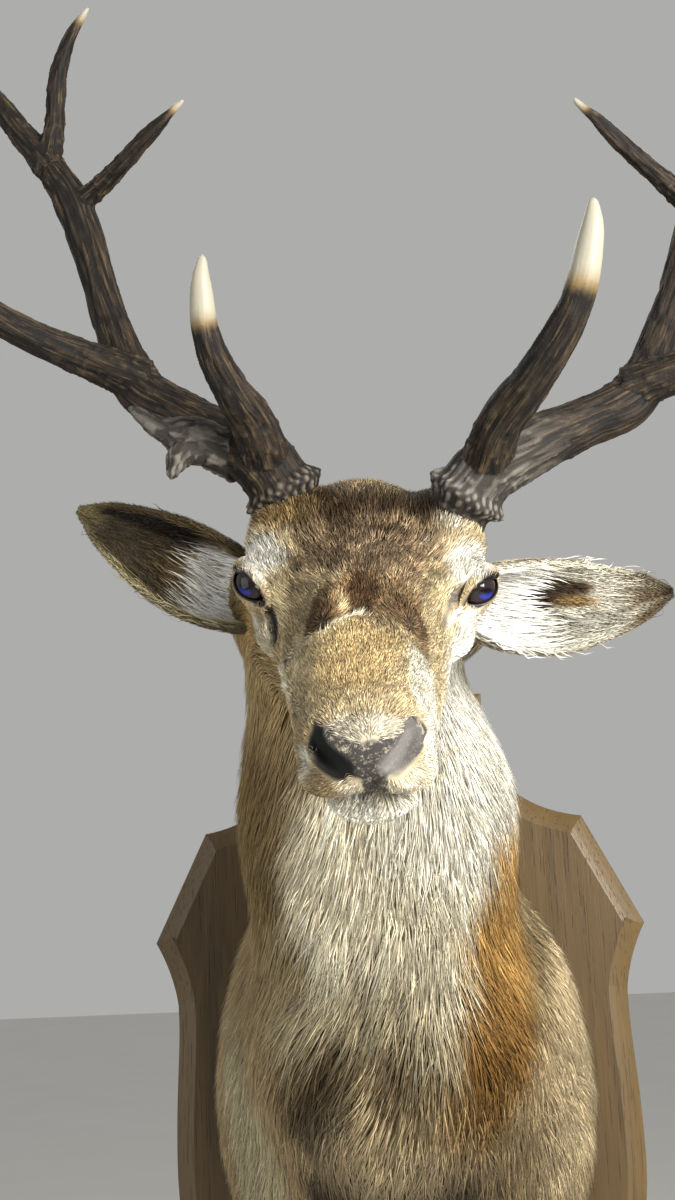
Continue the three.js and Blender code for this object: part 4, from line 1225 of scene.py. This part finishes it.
def eyelid(side, name, finish, hair, dice):
    """The net closed from its last loop to its first, with hair beyond the rim and lashes above the eye."""
    net = lid_net(side)
    points = net.reshape(-1, 3)
    # The remainder brings the faces beyond the last loop back to the first.
    quads = (grid_faces(len(net) + 1, net.shape[1]) % len(points))[:, ::side]
    normals = vertex_normals(points, quads).reshape(net.shape)
    piece = put_mesh("eyelid_" + name, points, [quads], finish)
    nosewards = np.maximum(np.cos(LID_TURN), 0) ** (1.5 if side > 0 else 3)
    width = 2.4 + 2.6 * np.maximum(np.sin(LID_TURN), 0) + 5.5 * nosewards
    rim = 1 - ease((np.arange(len(net))[:, None] - width) / 1.6)
    root, tip = coat_tones(points)
    carry(piece, coat=opaque(linear(root * 0.5 + tip * 0.4)), rim=rim.ravel())
    centre, axes = eye_frame(side)

    def lid_comb(places, _):
        """Away from the eye and back along the head."""
        away = places - centre
        return unit(away - (away @ axes[0])[:, None] * axes[0]) * 0.8 - HEAD_AXES[1]

    outer, normals = net[:LID_OUTSIDE], normals[:LID_OUTSIDE]
    u, v = scattered(outer, np.arange(LID_OUTSIDE - 1)[:, None] > width, LID_HAIRS, dice)
    shape = {"length": 5 + 1.5 * dice.random(len(u)), "width": 0.65 + 0 * u,
             "height": 1.2 + 0.8 * dice.random(len(u)), "wave": 0, "clump": 0.4, "rings": 2,
             "mottle": 0.2, "streak": 0.3, "patch": 0, "stray": 6}
    tones = coat_tones(lookup(outer, u, v)[0])
    locks("coat_eyelid_" + name, outer, normals, (u, v), lid_comb, shape, tones, hair, dice)
    v = net.shape[1] * np.linspace(0.04, 0.44, LASHES)
    dark = np.full((LASHES, 3), (22.0, 17.0, 13.0))
    shape = {"length": 6.5 + 2 * dice.random(LASHES), "width": 0.5 + 0 * v, "height": 5.5 + 0 * v, "wave": 0,
             "clump": 0, "rings": 3, "mottle": 0.1, "streak": 0, "patch": 0, "stray": 4}
    roots = 3.0 + 0 * v, v
    locks("lashes_" + name, outer, normals, roots, lid_comb, shape, (dark, dark), hair, dice)


lid_paint, lid_hair, lid_dice = lid_finish(), hair_finish(), np.random.default_rng(11)
eyelid(1, "left", lid_paint, lid_hair, lid_dice)
eyelid(-1, "right", lid_paint, lid_hair, lid_dice)


# ---------- ears ----------
# The ears: a leaf of skin over thin gristle, rolled to a cup that opens forwards, with its own coat.
# White hair streams out of the hollow and short fur covers the back. The rims and tips are marked.
EAR_HALF, EAR_LEATHER = 38.5, 1.3
EAR_WIDTH = [0.5, 0.72, 0.93, 1.0, 0.96, 0.8, 0.52, 0.08]  # half width along the ear, as a share
EAR_ROLL = [150, 128, 104, 88, 76, 64, 52, 40]  # degrees that each side curls round
EAR_ROWS, EAR_COLUMNS = 72, 36  # columns on each face
# Places on an ear: 0 at its root to 100 at its tip, -50 at the upper rim to 50 at the lower, 50 in the hollow
# and -50 behind. Then sizes and colours as on the body. "low" is the way round to its lower rim.
LEFT_EAR = {
    "name": "left", "path": [(84, -415, 420), (140, -428, 408), (200, -418, 408), (272, -398, 418)],
    "facing": (0.1, -0.96, -0.22), "low": 1, "base": ((150, 144, 126), (206, 202, 188)),
    "marks": [
        ((50, 0, -50), (120, 70, 45), (92, 84, 66), (140, 130, 108)),
        ((62, 22, 50), (30, 13, 30), (118, 112, 100), (184, 180, 166)),
        ((45, -50, 30), (46, 12, 60), (176, 168, 144), (224, 219, 200)),
        ((12, 0, 50), (34, 70, 45), (222, 219, 208), (244, 242, 234)),
        ((42, -8, 50), (10, 9, 40), (26, 20, 14), (56, 44, 30)),
        ((56, -17, 50), (15, 9, 40), (30, 23, 16), (70, 56, 37)),
        ((60, -4, 50), (10, 6, 40), (104, 82, 48), (150, 124, 80)),
        ((96, 0, 0), (22, 90, 90), (58, 47, 32), (100, 84, 58)),
        ((101, 0, 0), (9, 90, 90), (28, 21, 15), (48, 37, 26)),
    ],
}
RIGHT_EAR = {
    "name": "right", "path": [(-62, -415, 418), (-118, -430, 446), (-178, -420, 482), (-246, -398, 527)],
    "facing": (-0.1, -0.97, -0.16), "low": -1, "base": ((54, 44, 30), (82, 70, 50)),
    "marks": [
        ((50, 0, -50), (120, 70, 45), (62, 52, 38), (102, 90, 66)),
        ((42, 5, 50), (18, 22, 30), (84, 64, 36), (112, 92, 56)),
        ((62, -30, 50), (38, 13, 40), (20, 15, 10), (38, 29, 20)),
        ((62, -52, 40), (52, 14, 60), (72, 59, 37), (98, 82, 54)),
        ((36, 52, 40), (60, 12, 60), (122, 112, 80), (166, 154, 120)),
        ((96, 0, 0), (14, 90, 90), (96, 86, 58), (134, 122, 86)),
        ((20, 6, 50), (28, 42, 50), (210, 205, 190), (244, 241, 230)),
    ],
}
# The hairs: how many, in how many rings, and how much longer, wider and higher they are than the fur.
EAR_HAIR = {"fur": (5900, 2, 1, 1, 1), "plume": (1200, 3, 3.4, 1.1, 4.2)}


def ear_net(ear):
    """Rings along the ear: centre + r sin f across + (R / 2 - r cos f) into the hollow, R = half / sin roll.

    A ring runs along the back, where r is R plus the leather, and home along the hollow, where it is less.
    """
    t = np.linspace(0, 1, EAR_ROWS)
    centre = along(ear["path"], 3 * t)
    tangent = unit(heading(ear["path"], 3 * t, 0.03))
    across = unit(np.cross(tangent, unit(np.array(ear["facing"]))))
    hollow = np.cross(across, tangent)
    half = EAR_HALF * along(EAR_WIDTH, 7 * t)
    curl = np.radians(along(EAR_ROLL, 7 * t))
    radius = half / np.sin(np.minimum(curl, math.pi / 2))
    share = np.linspace(-1, 1, EAR_COLUMNS)
    turn = curl * np.concatenate([share, share[::-1]])
    r = radius + np.minimum(EAR_LEATHER, 0.5 * half) * np.repeat([1, -1], EAR_COLUMNS)
    return (centre[:, None] + across[:, None] * (r * np.sin(turn))[..., None]
            + hollow[:, None] * (radius * 0.5 - r * np.cos(turn))[..., None])


def ear_places(u, v):
    """How far along and down the ear a net's row and column are, and on which face."""
    column = np.mod(v, 2 * EAR_COLUMNS)
    inside = column >= EAR_COLUMNS
    share = np.where(inside, 2 * EAR_COLUMNS - 1 - column, column) / (EAR_COLUMNS - 1)
    return u / (EAR_ROWS - 1), np.clip(2 * share - 1, -1, 1), inside


def ear_tones(ear, u, v):
    """The ear's own markings at a net's row and column."""
    run, down, inside = ear_places(u, v)
    place = np.stack([run * 100, ear["low"] * down * 50, np.where(inside, 50, -50)], 1)
    return marked(place, ear["base"], ear["marks"])


def ear_piece(ear, hair, dice):
    """The net closed at its root and tip, then fur all over it and a plume that grows from its hollow."""
    net = ear_net(ear)
    rows, columns = net.shape[:2]
    points = np.concatenate([net.reshape(-1, 3), [net[0].mean(0), net[-1].mean(0)]])
    faces = [part[:, ::-1] for part in capped_faces(rows, columns)]
    normals = vertex_normals(points, faces[0])[:-2].reshape(net.shape)
    skin = Finish("ear_leather_" + ear["name"])
    grain = skin.noise(skin.place(), 500, 3, 0.6)
    skin.paint(Base_Color=skin.attribute("coat", "Color"), Roughness=0.8, Normal=skin.bump(grain, 0.4))
    name = "ear_" + ear["name"]
    piece = put_mesh(name + "_leather", points, faces, skin, [name])
    dark, pale = ear_tones(ear, *np.divmod(np.arange(rows * columns), columns))
    carry(piece, coat=opaque(linear(np.concatenate([dark * 0.6 + pale * 0.25, dark[:1], dark[:1]]))))

    def ear_comb(_, u):
        """Towards the ear's tip."""
        return heading(ear["path"], 3 * np.clip(u / (EAR_ROWS - 1), 0, 1), 0.06)

    run, _, inside = ear_places(*np.mgrid[0 : rows - 1, 0:columns])
    plume = inside * (bell(run, 0.22) + 0.12 * bell(run, 0.6)) * (run > 0.03)
    cover = {"fur": 0.7 + 0.3 * inside, "plume": plume}
    for kind, (count, rings, longer, wider, higher) in EAR_HAIR.items():
        u, v = scattered(net, cover[kind], count, dice)
        shape = {
            "length": longer * (6.5 + 3 * dice.random(count)) * (1.15 - 0.5 * ear_places(u, v)[0]),
            "width": wider * (0.75 + 0.3 * dice.random(count)),
            "height": higher * (1.0 + 0.9 * dice.random(count)), "wave": 0.3 * longer, "clump": 0.9 * longer,
            "rings": rings, "mottle": 0.2, "streak": 0.7, "patch": 0, "stray": 6,
        }
        tones = ear_tones(ear, u, v)
        locks(name + "_" + kind, net, normals, (u, v), ear_comb, shape, tones, hair, dice)


ear_hair, ear_dice = hair_finish(), np.random.default_rng(5)
ear_piece(LEFT_EAR, ear_hair, ear_dice)
ear_piece(RIGHT_EAR, ear_hair, ear_dice)


# ---------- studio ----------
# The stag hangs in the middle of a plain studio: a pale floor below the shield and three soft lights.
# The camera stands low in front and a little to the right, and looks up at the face, as a visitor would.
CAMERA_PLACE = (0.090, -1.672, 0.170)  # metres
CAMERA_LEFT, CAMERA_LIFT, CAMERA_ROLL = 4.755, 11.468, 2.627  # degrees
SENSOR_WIDTH = 36
FRAME_LONG = 1200  # pixels
FOCUS_PIXELS = 1500
THROAT = Vector((0.02, -0.42, 0.25))
FLOOR_HALF, FLOOR_HEIGHT = 15, -0.9


def studio_camera():
    """Turned left, lifted from level and rolled, in that order."""
    camera = put_object("camera", bpy.data.cameras.new("camera"))
    camera.data.sensor_width = SENSOR_WIDTH
    camera.data.lens = SENSOR_WIDTH * FOCUS_PIXELS / FRAME_LONG
    place = Matrix.Translation(CAMERA_PLACE)
    for degrees, axis in ((CAMERA_LEFT, "Z"), (90 + CAMERA_LIFT, "X"), (-CAMERA_ROLL, "Z")):
        place = place @ Matrix.Rotation(math.radians(degrees), 4, axis)
    camera.matrix_world = place
    bpy.context.scene.camera = camera


def soft_light(name, place, size, watts, colour):
    """A square area light that faces the stag's throat."""
    lamp = bpy.data.lights.new(name, "AREA")
    lamp.size = size
    lamp.energy = watts
    lamp.color = colour
    light = put_object(name, lamp)
    facing = (Vector(place) - THROAT).to_track_quat("Z", "Y").to_matrix().to_4x4()
    light.matrix_world = Matrix.Translation(place) @ facing


def studio_floor():
    """One level square, painted a faintly mottled white."""
    finish = Finish("floor_paint")
    mottle = finish.noise(finish.place(), 3)
    finish.paint(Base_Color=finish.layers(tone(214, 212, 208), ((222, 220, 216), mottle)), Roughness=0.8)
    half = FLOOR_HALF
    corners = [(x, y, FLOOR_HEIGHT) for x, y in ((-half, -half), (half, -half), (half, half), (-half, half))]
    made = bpy.data.meshes.new("floor")
    made.from_pydata(corners, [], [(0, 1, 2, 3)])
    made.materials.append(finish.material)
    put_object("floor", made)


studio_camera()
studio_floor()
soft_light("key", (1.6, -2.1, 0.85), 1.1, 150, (1.0, 0.98, 0.94))
soft_light("fill", (-2.2, -1.6, 0.5), 2.0, 22, (0.94, 0.97, 1.0))
soft_light("rim", (-0.9, 0.9, 1.9), 1.0, 14, (1.0, 0.98, 0.95))
world = bpy.data.worlds.new("studio")
world.use_nodes = True
world.node_tree.nodes["Background"].inputs["Color"].default_value = tone(226, 226, 224)
world.node_tree.nodes["Background"].inputs["Strength"].default_value = 0.55
bpy.context.scene.world = world
bpy.context.scene.view_settings.view_transform = "Standard"
